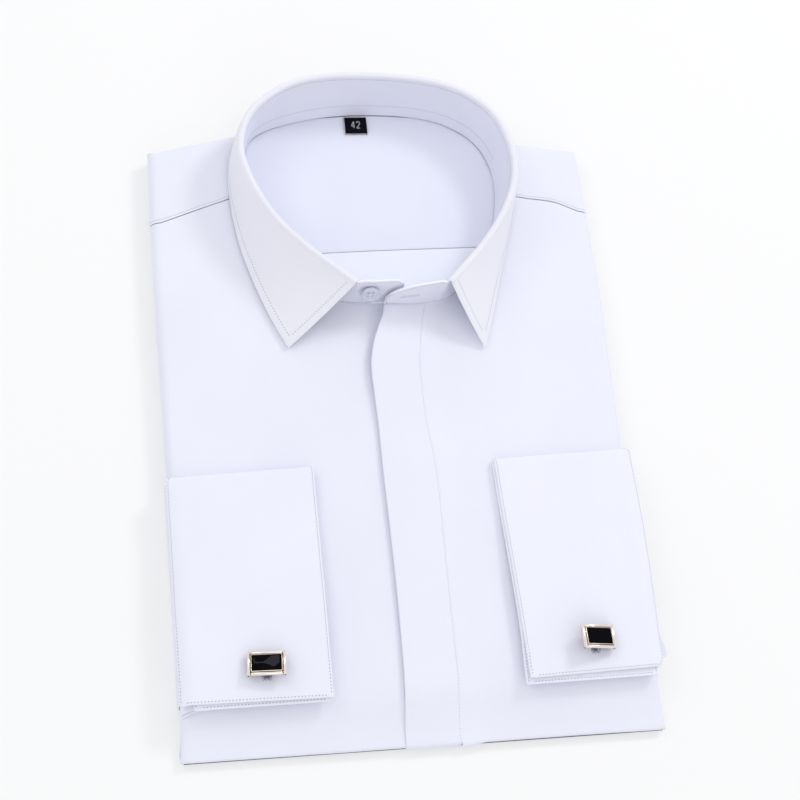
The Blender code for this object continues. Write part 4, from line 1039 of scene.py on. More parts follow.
def collar_stand():
    rest = CLOTH + CLEAR
    fold_drop = FOLD_RADIUS + LEAF_THICK / 2 + LEAF_START + CLEAR
    sections = []
    for base_x, base_y, fold_x, fold_y, fold_z, _, _, _ in collar_stations(COLLAR_STEPS):
        sections.append((base_x, base_y, fold_x, fold_y, fold_z - fold_drop, height(base_x, base_y) + rest))
    first, last = sections[0], sections[-1]
    fly_top = CLOTH + SEAM + PLACKET_THICK + 1.5 * SEAM

    def band_end(points, section, over_fly):
        made = []
        for index, (x, y) in enumerate(points):
            left_over = math.dist((x, y), points[-1])
            top_z = section[4] + BAND_END_RISE
            low = height(x, y) + (fly_top + fly_lift(x, y) if over_fly else rest)
            radius = OUTER_BAND_ROUND if over_fly else BAND_END_ROUND
            inset = max(0.0, BAND_END_CUT * (radius - left_over) / radius)
            drop = top_z - low if over_fly else radius
            top_z -= drop * (1.0 - math.sqrt(1.0 - inset ** 2))
            lean = lerp(section[3] - section[1], BAND_END_LEAN, (index + 1) / len(points))
            made.append((x, y, x, y + lean, top_z, low))
        return made

    right_end = dense_path([first[:2], *RIGHT_BAND_END], BAND_END_STEPS[0])
    left_end = dense_path([last[:2], *LEFT_BAND_END], BAND_END_STEPS[1])
    front = band_end(right_end, first, False)
    back = band_end(left_end, last, True)
    for index in range(BAND_BLEND):
        section = list(sections[-1 - index])
        x, y = section[0], section[1]
        full = height(x, y) + fly_top + fly_lift(x, y)
        section[5] = lerp(full, section[5], (index + 1) / (BAND_BLEND + 1))
        sections[-1 - index] = tuple(section)
    sections = list(reversed(front)) + sections + back
    middle = []
    for base_x, base_y, fold_x, fold_y, top_z, low_z in sections:
        middle.append([(lerp(base_x, fold_x, share), lerp(base_y, fold_y, share), lerp(low_z, top_z, share))
                       for share in (0.0, 0.3, 0.65, 1.0)])
    middle = np.array(middle)
    return Cloth(middle, middle, step=1.1, radii=(0.7,) * 4, thickness=STAND_THICK)


LEAF_BULGE = 1.4         # the leaf stands out from a straight fall, less so at its points
POINT_BULGE = 0.9
LEAF_BEND = (0.32, 0.46)   # share out and share down of the fall's control point


def collar_leaf():
    stations = collar_stations(COLLAR_STEPS)
    count = len(stations)
    middle = []
    for index, (_, _, fold_x, fold_y, fold_z, edge_x, edge_y, edge_z) in enumerate(stations):
        before = stations[max(index - 1, 0)]
        after = stations[min(index + 1, count - 1)]
        run_x, run_y = after[2] - before[2], after[3] - before[3]
        size = math.hypot(run_x, run_y)
        out_x, out_y = -run_y / size, run_x / size
        centre_z = fold_z - FOLD_RADIUS - LEAF_THICK / 2
        line = [(fold_x, fold_y, centre_z - LEAF_START)]
        for angle in (180, 135, 90, 45, 0):
            reach = FOLD_RADIUS * (1.0 + math.cos(math.radians(angle)))
            rise = FOLD_RADIUS * math.sin(math.radians(angle))
            line.append((fold_x + out_x * reach, fold_y + out_y * reach, centre_z + rise))
        start = np.array(line[-1])
        edge = np.array([edge_x, edge_y, edge_z])
        drop = start[2] - edge_z
        bulge = LEAF_BULGE if 2 < index < count - 3 else POINT_BULGE
        control = np.array([lerp(start[0], edge_x, LEAF_BEND[0]) + out_x * bulge,
                            lerp(start[1], edge_y, LEAF_BEND[0]) + out_y * bulge,
                            start[2] - drop * LEAF_BEND[1]])
        for share in (0.14, 0.32, 0.55, 0.78, 1.0):
            keep, mix, reach = (1 - share) ** 2, 2 * share * (1 - share), share ** 2
            line.append(tuple(keep * start + mix * control + reach * edge))
        middle.append(line)
    middle = np.array(middle)
    return Cloth(middle, middle, step=1.1, radii=(0.8,) * 4, thickness=LEAF_THICK)


# ---- sleeves and cuffs
CUFF_LIES_FLAT = 12.0    # along the cuff from its fold
CUFF_CLIMB = 70.0        # and over this length it climbs towards its open end
OPEN_EASE = 30.0         # the open end's shape dies out over this length


def cuff_lift(up):
    return CUFF_RISE * smooth((CUFF_LENGTH - CUFF_LIES_FLAT - up) / CUFF_CLIMB)


def cuff_place(row, inward, up):
    across, along = inward / CUFF_WIDTH, up / CUFF_LENGTH
    at_open = [lerp(a, b, across) for a, b in zip(*row["open_end"])]
    at_fold = [lerp(a, b, across) for a, b in zip(*row["folded_end"])]
    x, y = [lerp(a, b, along) for a, b in zip(at_open, at_fold)]
    x += row["bulge"] * (1.0 - across) * math.sin(math.pi * min(max(along, 0.0), 1.0) ** 1.5)
    return row["sign"] * x, y


LOWER_OUT = 5.2          # the lower half's outer edge runs this far out, round the side fold
SECOND_OUT = 3.2         # and the line next to it
CUFF_COLUMN_IN = (0.0, 4.5, 10.0)
CUFF_ROW_UP = (40.0, 58.0, 76.0, 94.0, 108.0)
DROOP = (1.2, 0.6)       # of the upper half's outer edge, and what the cuff's lift adds


def cuff(row):
    """One band folded back on itself: lower half, fold and upper half, with two slots."""
    half = CUFF_THICK / 2
    low_middle = CLOTH + SEAM + half
    turn = half + CUFF_FOLD_GAP / 2
    straight_end = CUFF_LENGTH - turn
    link_in, link_up = row["link"][:2]
    slot = (link_in - BUTTONHOLE[0] / 2, link_in + BUTTONHOLE[0] / 2)
    ups = [0.0, 4.0, link_up - BUTTONHOLE[1] / 2, link_up + BUTTONHOLE[1] / 2]
    ups += [*CUFF_ROW_UP, straight_end]
    path = [(up, "low") for up in ups]
    path += [(angle, "turn") for angle in (-45, 0, 45)]
    path += [(up, "high") for up in reversed(ups)]
    columns = [*CUFF_COLUMN_IN, lerp(CUFF_COLUMN_IN[-1], slot[0], 0.5), *slot,
               lerp(slot[1], CUFF_WIDTH, 0.33), lerp(slot[1], CUFF_WIDTH, 0.67), CUFF_WIDTH]

    def point(column, value, part):
        inward = columns[column]
        outer, inner = column == 0, column == len(columns) - 1
        up, high = value, 0.0 if part == "low" else 1.0
        if part == "turn":
            angle = math.radians(value)
            up = straight_end + turn * math.cos(angle)
            high = (1.0 + math.sin(angle)) / 2
        lift = 2 * turn * high
        x, y = cuff_place(row, inward, up)
        open_end = 1.0 - smooth(up / OPEN_EASE)
        if outer:
            inset = lerp(row["lower_out"], LOWER_OUT, smooth((up - 2.0) / 10.0))
            x -= row["sign"] * (lerp(inset, -row["upper_out"], high) + row["clip"] * high * (up == 0.0))
        elif column == 1:
            x -= row["sign"] * lerp(min(SECOND_OUT, row["lower_out"]), -0.7 * row["upper_out"], high)
        elif inner:
            x -= row["sign"] * lerp(lerp(*row["lower_in"], open_end), row["upper_in"], high)
        droop = 0.0
        if outer and part == "high":
            droop = (DROOP[0] + DROOP[1] * cuff_lift(up)) * smooth((CUFF_LENGTH - up) / 11.0)
        if up == 0.0:
            y -= lerp(*row["lower_past"], inward / CUFF_WIDTH) * (1.0 - high)
        return (x, y, height(x, y) + low_middle + cuff_lift(up) + lift - droop)

    order = range(len(columns)) if row["sign"] > 0 else range(len(columns) - 1, -1, -1)
    middle = np.array([[point(column, value, part) for value, part in path] for column in order])
    cloth = Cloth(middle, middle, step=1.6, radii=(1.05,) * 4, plies=(1,) * 4, thickness=CUFF_THICK)
    slot_column = 4 if row["sign"] > 0 else len(columns) - 6
    keys_u, keys_v = cloth.coarse
    last = len(path) - 4
    cloth.slots = [(keys_u[slot_column], keys_u[slot_column + 1], keys_v[start], keys_v[start + 1])
                   for start in (2, last)]
    return cloth


SLEEVE_TURNS = (0.28, 0.45, 0.65, 0.85, 1.0)
SLEEVE_BELOW = ((6.4, 5.2), (6.3, 3.4), (6.0, 1.8), (5.6, 0.4))   # out from the side line, level


def sleeve(row):
    """The strip of sleeve that comes round the side fold; its loose corner juts out at the cuff."""
    _, sign, y_from, y_to, jut = row
    low = CLOTH + 1.3 * SEAM
    outer, inner = [], []
    for share in (0.0, 0.04, 0.08, 0.13, 0.2, 0.32, 0.45, 0.6, 0.75, 0.9, 1.0):
        y = lerp(y_from, y_to, share)
        x = side_x(y, sign)
        corner = sign * jut * (1.0 - smooth(share / 0.2))
        out_line, in_line = [], []
        for turn in SLEEVE_TURNS:
            lip = corner * (1.0 - smooth((turn - 0.6) / 0.3))
            out_line.append(shell_point(x + lip, y, sign * turn, 0.0, low + CLOTH - 0.1))
            in_line.append(shell_point(x + lip, y, sign * turn, 0.0, low))
        for reach, z in SLEEVE_BELOW:
            out_line.append((x + sign * reach, y, z))
            in_line.append((x + sign * (reach - CLOTH + 0.1), y, z))
        outer.append(out_line)
        inner.append(in_line)
    return Cloth(np.array(outer), np.array(inner), step=1.4)


# ---- the folded layers beneath
RIM_TURNS = (0.3, 0.6, 0.85, 1.1, 1.38)
RIM_LAYERS = (
    # out from the bed's edge, level
    (2.3, 4.3), (3.7, 4.0), (4.2, 3.2), (3.5, 2.4), (3.3, 2.1), (4.0, 1.5), (4.0, 0.7), (3.2, 0.0),
)


def folded_core():
    """Both faces of the folded layers: the top with its layered rim, and the flat underside."""
    x_shares = [step / 7 - 1.0 for step in range(15)]
    y_shares = [step / 18 for step in range(19)]
    rim_count = len(RIM_TURNS) + len(RIM_LAYERS)

    def rim_stations(sign):
        turning = [(sign * turn, None) for turn in RIM_TURNS]
        return turning + [(sign * (2.0 + k), layer) for k, layer in enumerate(RIM_LAYERS)]

    def stations(shares):
        run = [("rim", m, layer) for m, layer in reversed(rim_stations(-1))]
        run += [("flat", share, None) for share in shares]
        return run + [("rim", m, layer) for m, layer in rim_stations(1)]

    across, along = stations(x_shares), stations(y_shares)

    def place(column, row, under):
        (kind_a, a, layer_a), (kind_b, b, layer_b) = column, row
        share_x = a if kind_a == "flat" else math.copysign(1.0, a)
        share_y = b if kind_b == "flat" else (0.0 if b < 0 else 1.0)
        side = a if kind_a == "rim" else 0.0
        end = b if kind_b == "rim" else 0.0
        guess = lerp(HEM_Y, top_y(share_x * side_x(0.0, 1)), share_y)
        x = side_x(guess, -1 if share_x < 0 else 1) * abs(share_x)
        y = lerp(HEM_Y, top_y(x) - CORE_TUCK, share_y)
        layer = layer_a if abs(side) >= abs(end) else layer_b
        if under and not side and not end:
            return (x, y, 0.0)
        if not under and layer is None:
            return shell_point(x, y, side, end, -CORE_DROP)
        reach, level = RIM_LAYERS[-1] if under else layer
        if side < 0 and level < BED - 2 * ROLL:
            reach += TAIL_OUT * (1.0 - smooth((y - 8.0) / 12.0))
        plan_x, plan_y, _ = around(side, end)
        if end < 0:
            reach -= HEM_TUCK * hanging(plan_x, plan_y)
        if under:
            far = max(abs(side), abs(end))
            order = RIM_TURNS.index(far) if far in RIM_TURNS else len(RIM_TURNS) + int(far - 1.9)
            reach *= (order + 1) / rim_count
        y += plan_y * reach
        return (x + plan_x * reach, y, pressed(y, level))

    return [np.array([[place(column, row, under) for row in along] for column in across])
            for under in (False, True)]


RIM_ROWS = (8, 0.22)     # this many coarse rows at each end are filled in to this step
RIM_TOP = 4.3            # layers show from the table up to here
RIM_WANDER = ((0.5, 90.0, 21), (0.2, 24.0, 22))
PLY_SHARP = 0.7          # below 1 for flat plies with sharp gaps
PLY_MIDDLE = 0.6         # share of a ply's height that lies beneath the rim's surface


def core_piece(look):
    """The folded layers, with uneven plies round the rim and soft creases beneath."""
    top, bottom = folded_core()
    cloth = Cloth(top, bottom, step=3.2, radii=(0.0,) * 4, fine=RIM_ROWS)
    top, bottom = (cloth.refined(grid, *cloth.coarse) for grid in (top, bottom))
    out = cloth.across(top)
    x, y, z = (top[..., k] for k in range(3))
    turns = z / PLY_PITCH + swells(x, y, RIM_WANDER)
    ply = np.abs(np.sin(turns * math.pi)) ** PLY_SHARP - PLY_MIDDLE
    rim = smooth((z - 0.15) / 0.5) * (1.0 - smooth((z - RIM_TOP) / 0.8))
    top = top + out * (PLY_RISE * (0.8 + 0.5 * swell(x, y, 60.0, 23)) * ply * rim)[..., None]
    top = top + out * (0.3 * swell(x, y, 70.0, 24) * rim)[..., None]
    top[..., 2] = np.maximum(top[..., 2], 0.0)
    bottom[..., 2] = np.maximum(-creases(x, y, UNDER_CREASES), 0.0)
    cloth.middle = (top + bottom) / 2
    half = (top - bottom) / 2
    cloth.half = np.linalg.norm(half, axis=2)
    cloth.normal = unit(half)
    cloth.share = np.ones_like(cloth.half)
    for rows in END_ROWS:
        cloth.share[rows] = 0.0
        cloth.middle[rows] = top[rows]
        cloth.middle[rows][..., 2] = 0.0
    return cloth.build("folded_layers", look)


# ---- sewing
class Sewing:
    """Many small stitches in one mesh: each is a short thread whose ends dip into the cloth."""

    ALONG = ((-0.5, 0.35, -0.16), (-0.3, 0.9, 0.0), (0.3, 0.9, 0.0), (0.5, 0.35, -0.16))
    SIDES = 5

    def __init__(self):
        self.points = []
        self.count = 0

    def row(self, points, normals, pitch=STITCH_PITCH, long=STITCH_LONG, thread=THREAD):
        """Stitches at an even pitch along a path on the cloth."""
        if len(points) < 2:
            return
        reach = running(points)
        centres = np.arange(pitch / 2, reach[-1] - long / 2, pitch)

        def at(runs, values):
            return np.stack([np.interp(runs, reach, values[:, k]) for k in range(3)], axis=1)

        if len(centres):
            ends = [at(centres + long * side, points) for side in (-0.5, 0.5)]
            self.threads(*ends, at(centres, normals), thread)

    def threads(self, starts, ends, normals, thread=THREAD, lift=0.0):
        """One stitch from each start to each end."""
        starts, ends, normals = (np.atleast_2d(value) for value in (starts, ends, normals))
        middle, run = (starts + ends) / 2, ends - starts
        side = unit(np.cross(run, normals))
        turns = math.tau * np.arange(self.SIDES) / self.SIDES
        rings = []
        for share, size, dip in self.ALONG:
            centre = middle + run * share + normals * (dip + lift)
            ring = centre[:, None] + thread * size * (np.cos(turns)[None, :, None] * side[:, None]
                                                      + np.sin(turns)[None, :, None] * normals[:, None])
            rings.append(ring)
        self.points.append(np.stack(rings, axis=1).reshape(-1, 3))
        self.count += len(middle)

    def build(self, name, slot_name, look="thread"):
        per, sides = len(self.ALONG) * self.SIDES, self.SIDES
        pattern = ring_quads(len(self.ALONG), sides, False)
        pattern.append(list(range(sides)))
        pattern.append(list(range(per - 1, per - sides - 1, -1)))
        faces = [[k + per * n for k in face] for n in range(self.count) for face in pattern]
        return finished(mesh_object(name, np.concatenate(self.points), faces, LOOKS[look]), slot_name)


def clear_of(path, distance, *others):
    """The part of a row that keeps its distance from other lines."""
    points, normals = path
    for other in others:
        keep = np.linalg.norm(points[:, None] - other[None], axis=2).min(axis=1) > distance
        points, normals = points[keep], normals[keep]
    return points, normals


BACK_ROW_UP = 8.6        # the row across the back of the band, above the neck seam
BAND_SLIT_UP = (11.6, 13.2)   # both sides of the band's buttonhole
BAND_SLIT_FROM_END = 20.5
BAND_WHIP_PITCH = 0.55
BAND_WHIPS = 20


def sew_collar(stand, leaf):
    sewing = Sewing()
    outer = (4.0, leaf.v[-1])
    ends = [leaf.border(end, 0.0, 1.0, between)[0]
            for end, between in (("u0", outer), ("u1", outer), ("v1", None))]
    meet = 0.97 * LEAF_STITCH
    sewing.row(*clear_of(leaf.border("v1", LEAF_STITCH), meet, *ends[:2]))
    for end in ("u0", "u1"):
        sewing.row(*clear_of(leaf.border(end, LEAF_STITCH, 1.0, outer), meet, ends[2]))
    length = stand.u[-1]
    for end, inset, between in (("v1", STAND_STITCH, None), ("v0", STAND_STITCH, None),
                                ("v0", BACK_ROW_UP, (0.30 * length, 0.70 * length))):
        sewing.row(*stand.border(end, inset, 1.0, between))
    # the lapped ends of the band, on their inside
    for end, between in (("u0", (0.0, 34.0)), ("u1", (length - 38.0, length))):
        band = stand.border(end, 1.8, -1.0)
        sewing.row(*band)
        sewing.row(*stand.border("v0", BAND_STITCH, -1.0, between))
        sewing.row(*clear_of(stand.border("v1", BAND_STITCH, -1.0, between), 0.8, band[0]))
    # the band's buttonhole near its left end
    for up in BAND_SLIT_UP:
        for step in range(BAND_WHIPS):
            u = length - BAND_SLIT_FROM_END + step * BAND_WHIP_PITCH
            low, normal = stand.at(u, up - 0.6, -1.0)
            high, _ = stand.at(u, up + 0.6, -1.0)
            sewing.threads(low, high, normal, 0.14)
    sewing.build("stitches_collar", "collar_cloth")


YOKE_SEWN = (67.0, 318.0)   # stitches show outside this x and below this y


def sew_body(made):
    sewing = Sewing()
    points, normals = made["yoke_outer"].border("v0", YOKE_STITCH)
    for sign in (-1, 1):
        keep = (points[:, 0] * sign > YOKE_SEWN[0]) & (points[:, 1] < YOKE_SEWN[1])
        sewing.row(points[keep], normals[keep])
    sewing.build("stitches_body", "cloth")
    fly = made["placket_fly"]
    faint = Sewing()
    faint.row(*fly.border("u1", FLY_STITCH, 1.0, (4.0, fly.v[-1] - 1.0)))
    faint.build("stitches_fly", "cloth", "faint_shade_thread")


WHIP_PITCH = 0.42
WHIP_LONG = 1.2
LOOSE_THREADS = ((-3, 1.3), (-2, 1.9), (-1, 1.2), (1, 1.7), (2, 1.1), (3, 1.6))   # side step, length


def buttonhole(sewing, cloth, slot):
    """Whipped threads along a slot's sides, with a few loose ones at its ends."""
    u_low, u_high, v_low, v_high = slot

    def thread(u, v, far_u, far_v, thick):
        near, normal = cloth.at(u, v)
        sewing.threads(near, cloth.at(far_u, far_v)[0], normal, thick, THREAD_LIFT)

    for v in np.arange(v_low + 0.2, v_high, WHIP_PITCH):
        for u, out in ((u_low, -1), (u_high, 1)):
            thread(u + 0.1 * out, v, u + WHIP_LONG * out, v, 0.19)
    for v, out in ((v_low, -1), (v_high, 1)):
        for step, long in LOOSE_THREADS:
            u = (u_low + u_high) / 2 + step * 0.4
            thread(u, v + 0.1 * out, u + 0.32 * step, v + long * out, FINE_THREAD)


def sew_cuffs(made):
    sewing = Sewing()
    for row in CUFFS:
        cloth = made["cuff_" + row["name"]]
        half = cloth.v[-1] / 2
        edges = [cloth.border(end, 0.0)[0] for end in ("u0", "u1")]
        for end in ("u0", "u1"):
            sewing.row(*cloth.border(end, CUFF_STITCH, 1.0, (half + 1.0, cloth.v[-1] - 0.8)))
            sewing.row(*cloth.border(end, CUFF_STITCH, -1.0, (0.8, half - 1.0)))
        for end, side in (("v1", 1.0), ("v0", -1.0)):
            sewing.row(*clear_of(cloth.border(end, CUFF_STITCH, side), CUFF_STITCH, *edges))
        for slot in cloth.slots:
            buttonhole(sewing, cloth, slot)
    sewing.build("stitches_cuffs", "cloth", "dark_shade_thread")


# ---- button, label and cufflinks
def turned(points, angle_x=0.0, angle_y=0.0, angle_z=0.0, place=(0.0, 0.0, 0.0)):
    """Points turned about x, then y, then z in degrees, and moved."""
    turn = (Matrix.Rotation(math.radians(angle_z), 3, "Z") @ Matrix.Rotation(math.radians(angle_y), 3, "Y")
            @ Matrix.Rotation(math.radians(angle_x), 3, "X"))
    return np.asarray(points, float) @ np.array(turn).T + np.array(place)


BUTTON_PROFILE = (
    # out from the middle, level
    (0.0, 1.45), (2.7, 1.5), (3.1, 1.62), (3.5, 2.02), (3.9, 2.2), (4.5, 2.18), (4.9, 1.9),
    (5.1, 1.3), (5.05, 0.7), (4.6, 0.2), (4.2, 0.0), (0.0, 0.0),
)
BUTTON_RINGS = 40
BUTTON_SIDES = 96
BUTTON_FACE = 1.45       # level of the dished middle
HOLE_OUT = 1.15          # each of the four holes, from both middle lines
HOLE_ROUND = 0.52
SHANK_THREADS = 7


def neck_button():
    """A dished button with a raised rim and four holes, sewn with a crossed thread."""
    profile = np.array(BUTTON_PROFILE)
    runs = running(profile)
    at = np.linspace(0.0, runs[-1], BUTTON_RINGS)
    reach, level = (np.interp(at, runs, profile[:, k]) for k in (0, 1))
    turns = math.tau * np.arange(BUTTON_SIDES) / BUTTON_SIDES
    x, y = np.outer(reach, np.cos(turns)), np.outer(reach, np.sin(turns))
    z = np.repeat(level[:, None], BUTTON_SIDES, axis=1)
    on_face = (z > 1.0) & (np.hypot(x, y) < 3.0)
    for a, b in ((-1, -1), (-1, 1), (1, -1), (1, 1)):
        z = z - on_face * np.exp(-(np.hypot(x - HOLE_OUT * a, y - HOLE_OUT * b) / HOLE_ROUND) ** 4)
    points = np.stack([x, y, z], axis=2)[1:-1].reshape(-1, 3)
    centre_top, centre_low = len(points), len(points) + 1
    points = np.vstack([points, [0.0, 0.0, BUTTON_FACE], [0.0, 0.0, 0.0]])
    faces = ring_quads(BUTTON_RINGS - 2, BUTTON_SIDES, False)
    last = (BUTTON_RINGS - 3) * BUTTON_SIDES
    for k in range(BUTTON_SIDES):
        after = (k + 1) % BUTTON_SIDES
        faces.append([centre_top, k, after])
        faces.append([last + after, last + k, centre_low])
    pose = {"angle_x": 90.0 - BUTTON_TIP, "place": BUTTON_AT}
    button = mesh_object("neck_button", turned(points, **pose), faces, LOOKS["pearl"])
    finished(button, "pearl", "collar_button")
    sewing = Sewing()
    up = turned([(0.0, 0.0, 1.0)], angle_x=pose["angle_x"])[0]
    for offset in (-0.16, 0.16):
        for slant in (1, -1):
            ends = [(sign * HOLE_OUT + offset, sign * slant * HOLE_OUT, 1.5) for sign in (-1, 1)]
            sewing.threads(*turned(ends, **pose), up, FINE_THREAD, THREAD_LIFT)
    # the shank of thread that holds it on the band
    back = turned([(0.0, 0.0, 0.2), (0.0, 0.0, -1.1)], **pose)
    for k in range(SHANK_THREADS):
        swing = 0.5 * np.array([math.cos(k), 0.2, math.sin(k)])
        sewing.threads(back[0] + swing, back[1] + 0.6 * swing, np.array([0.0, 0.0, 1.0]), 0.2)
    sewing.build("button_thread", "cloth", "stand")


DIGITS = {
    # strokes of plain generic numerals in a box one wide and two high
    "4": (((0.72, 0.0), (0.72, 2.0), (0.0, 0.62), (1.0, 0.62)),),
    "2": (((0.05, 1.55), (0.3, 1.95), (0.75, 1.95), (0.98, 1.5), (0.8, 1.05), (0.0, 0.0), (1.0, 0.0)),),
}
DIGIT_AT = (3.9, 7.4)    # the first numeral's foot on the label
DIGIT_STEP = 2.9
DIGIT_SIZE = 2.1         # how wide, and half its height
LABEL_THICK = 0.6
LABEL_BULGE = 0.43
LABEL_ROWS = (
    # end, inset, thread
    ("u0", 0.3, FINE_THREAD), ("u1", 0.3, 0.24), ("v0", 0.4, 0.27), ("v1", 0.3, 0.2),
)


def neck_label():
    """A woven label with a pale edge and a plain number."""
    width, length = LABEL_SIZE
    centre_x, top = LABEL_TOP
    lines = []
    for step in range(5):
        x = centre_x + width * (step / 4 - 0.5)
        lines.append([(x, top - length * row / 3, 0.0, 0.0, LABEL_BULGE * (row in (1, 2)))
                      for row in range(4)])
    base = CLOTH + SEAM
    cloth = Cloth(*from_lines(lines, base, base + LABEL_THICK), step=0.5, radii=(0.3,) * 4)
    piece = cloth.build("woven_label", LOOKS["label"])
    finished(piece, "label_weave", "neck_label")
    side = 1.0 if cloth.normal[..., 2].mean() > 0 else -1.0
    sewing = Sewing()
    for end, inset, thick in LABEL_ROWS:
        sewing.row(*cloth.border(end, inset, side), pitch=0.62, long=0.56, thread=thick)
    for index, digit in enumerate("42"):
        for stroke in DIGITS[digit]:
            path = np.array([(DIGIT_AT[0] + index * DIGIT_STEP + DIGIT_SIZE * x, DIGIT_AT[1] - DIGIT_SIZE * y)
                             for x, y in stroke])
            fine = []
            for a, b in zip(path, path[1:]):
                fine += [lerp(a, b, share) for share in np.linspace(0.0, 1.0, 9)[:-1]]
            placed = [cloth.at(u, v, side) for u, v in [*fine, path[-1]]]
            sewing.row(*(np.array(values) for values in zip(*placed)), pitch=0.3, long=0.42,
                       thread=FINE_THREAD)
    sewing.build("label_threads", "label_weave", "pale_thread")


def rounded_ring(half_x, half_y, z, corner, steps=6):
    """A rectangle with round corners at one level."""
    points = []
    for quarter, (sx, sy) in enumerate(((1, 1), (-1, 1), (-1, -1), (1, -1))):
        for step in range(steps + 1):
            angle = math.radians(90.0 * (quarter + step / steps))
            points.append((sx * (half_x - corner) + corner * math.cos(angle),
                           sy * (half_y - corner) + corner * math.sin(angle), z))
    return points


def stacked(rings):
    """Points and faces of one closed solid through rings of one count."""
    count = len(rings[0])
    points = [point for ring in rings for point in ring]
    faces = [list(reversed(range(count)))] + ring_quads(len(rings), count)
    faces.append([(len(rings) - 1) * count + k for k in range(count)])
    return points, faces


def joined(solids):
    points, faces = [], []
    for more_points, more_faces in solids:
        faces += [[k + len(points) for k in face] for face in more_faces]
        points += list(more_points)
    return points, faces


# share along the bar, and size there
BAR_SECTIONS = ((-1.0, 0.55), (-0.985, 0.86), (-0.95, 1.0), (0.95, 1.0), (0.985, 0.86), (1.0, 0.55))
BAR_STEPS = 10


def bar(centre, along, half_long, half_wide, z_low, z_high):
    """A half-round bar with slightly drawn-in ends, along x or y."""
    sections = []
    for share, size in BAR_SECTIONS:
        ring = []
        for step in range(BAR_STEPS + 1):
            angle = math.pi * step / BAR_STEPS
            across = half_wide * math.cos(angle) * (0.6 + 0.4 * size)
            z = z_low + (z_high - z_low) * (0.25 + 0.75 * math.sin(angle)) * size
            ring.append((across, z))
        ring += [(-half_wide * size, z_low), (half_wide * size, z_low)]
        run = half_long * share
        if along == "x":
            sections.append([(centre[0] + run, centre[1] - across, z) for across, z in ring])
        else:
            sections.append([(centre[0] + across, centre[1] + run, z) for across, z in ring])
    return stacked(sections)


LINK_LIP = 0.45          # the metal lip round the stone
LINK_JOINT = 0.12        # the dark line where two bars meet
BASE_RINGS = (
    # inset, level, corner
    (1.5, 0.0, 0.7), (0.5, 0.45, 0.8), (0.22, 0.8, 0.8), (0.22, 1.35, 0.8), (0.6, 1.7, 0.6),
)
LIP_RINGS = ((-LINK_LIP, 1.5, 0.25), (-LINK_LIP, 2.7, 0.25), (-0.75 * LINK_LIP, 2.98, 0.25),
             (-0.4 * LINK_LIP, 3.02, 0.25), (-0.14, 2.85, 0.25), (-0.1, 2.0, 0.25))
STONE_RINGS = ((0.02, 2.1, 0.2), (0.02, 2.8, 0.2), (0.3, 3.02, 0.2), (0.5, 3.08, 0.2))
# feet at the face's lower corners: dark metal that paints the shade under the bars' ends
SHADE_FOOT_IN = (0.72, 0.5)    # a foot's middle, from the face's end and lower side
LINK_SHADE_FEET = ((0.35, 0.3), (0.62, 0.7), (0.62, 1.5), (0.4, 2.0))   # half width, level
STONE_REFLECTION_FACET = (
    # share along the stone, and where the paler facet, whose colour paints a reflection, starts and ends
    # across it
    (0.04, 0.50, 0.86), (0.07, 0.46, 0.80), (0.10, 0.45, 0.56), (0.30, 0.46, 0.53), (0.40, 0.45, 0.56),
    (0.50, 0.40, 0.70), (0.60, 0.33, 0.86), (0.68, 0.22, 0.95), (0.76, 0.17, 0.97), (0.86, 0.30, 0.97),
    (0.96, 0.46, 0.95),
)
FACET_IN = 0.4           # the facet keeps this far from the stone's sides


def layered(half_x, half_y, rows, steps=6):
    """A solid of rounded rectangles, each with its inset, level and corner."""
    return stacked([rounded_ring(half_x - inset, half_y - inset, z, corner, steps)
                    for inset, z, corner in rows])


def stone_painted_reflection(stone_x, stone_y):
    """The shallow slanting facet whose pale colour paints a reflection on the stone."""
    points = []
    for share, low, high in STONE_REFLECTION_FACET:
        px = lerp(-stone_x + FACET_IN, stone_x - FACET_IN, share)
        low, high = (lerp(-stone_y + FACET_IN, stone_y - FACET_IN, value) for value in (low, high))
        points += [(px, low, 3.0), (px, high, 3.0), (px, high, 3.16), (px, low, 3.09)]
    ends = [list(range(4)), [len(points) - 1 - k for k in range(4)]]
    return points, ring_quads(len(STONE_REFLECTION_FACET), 4, False) + ends


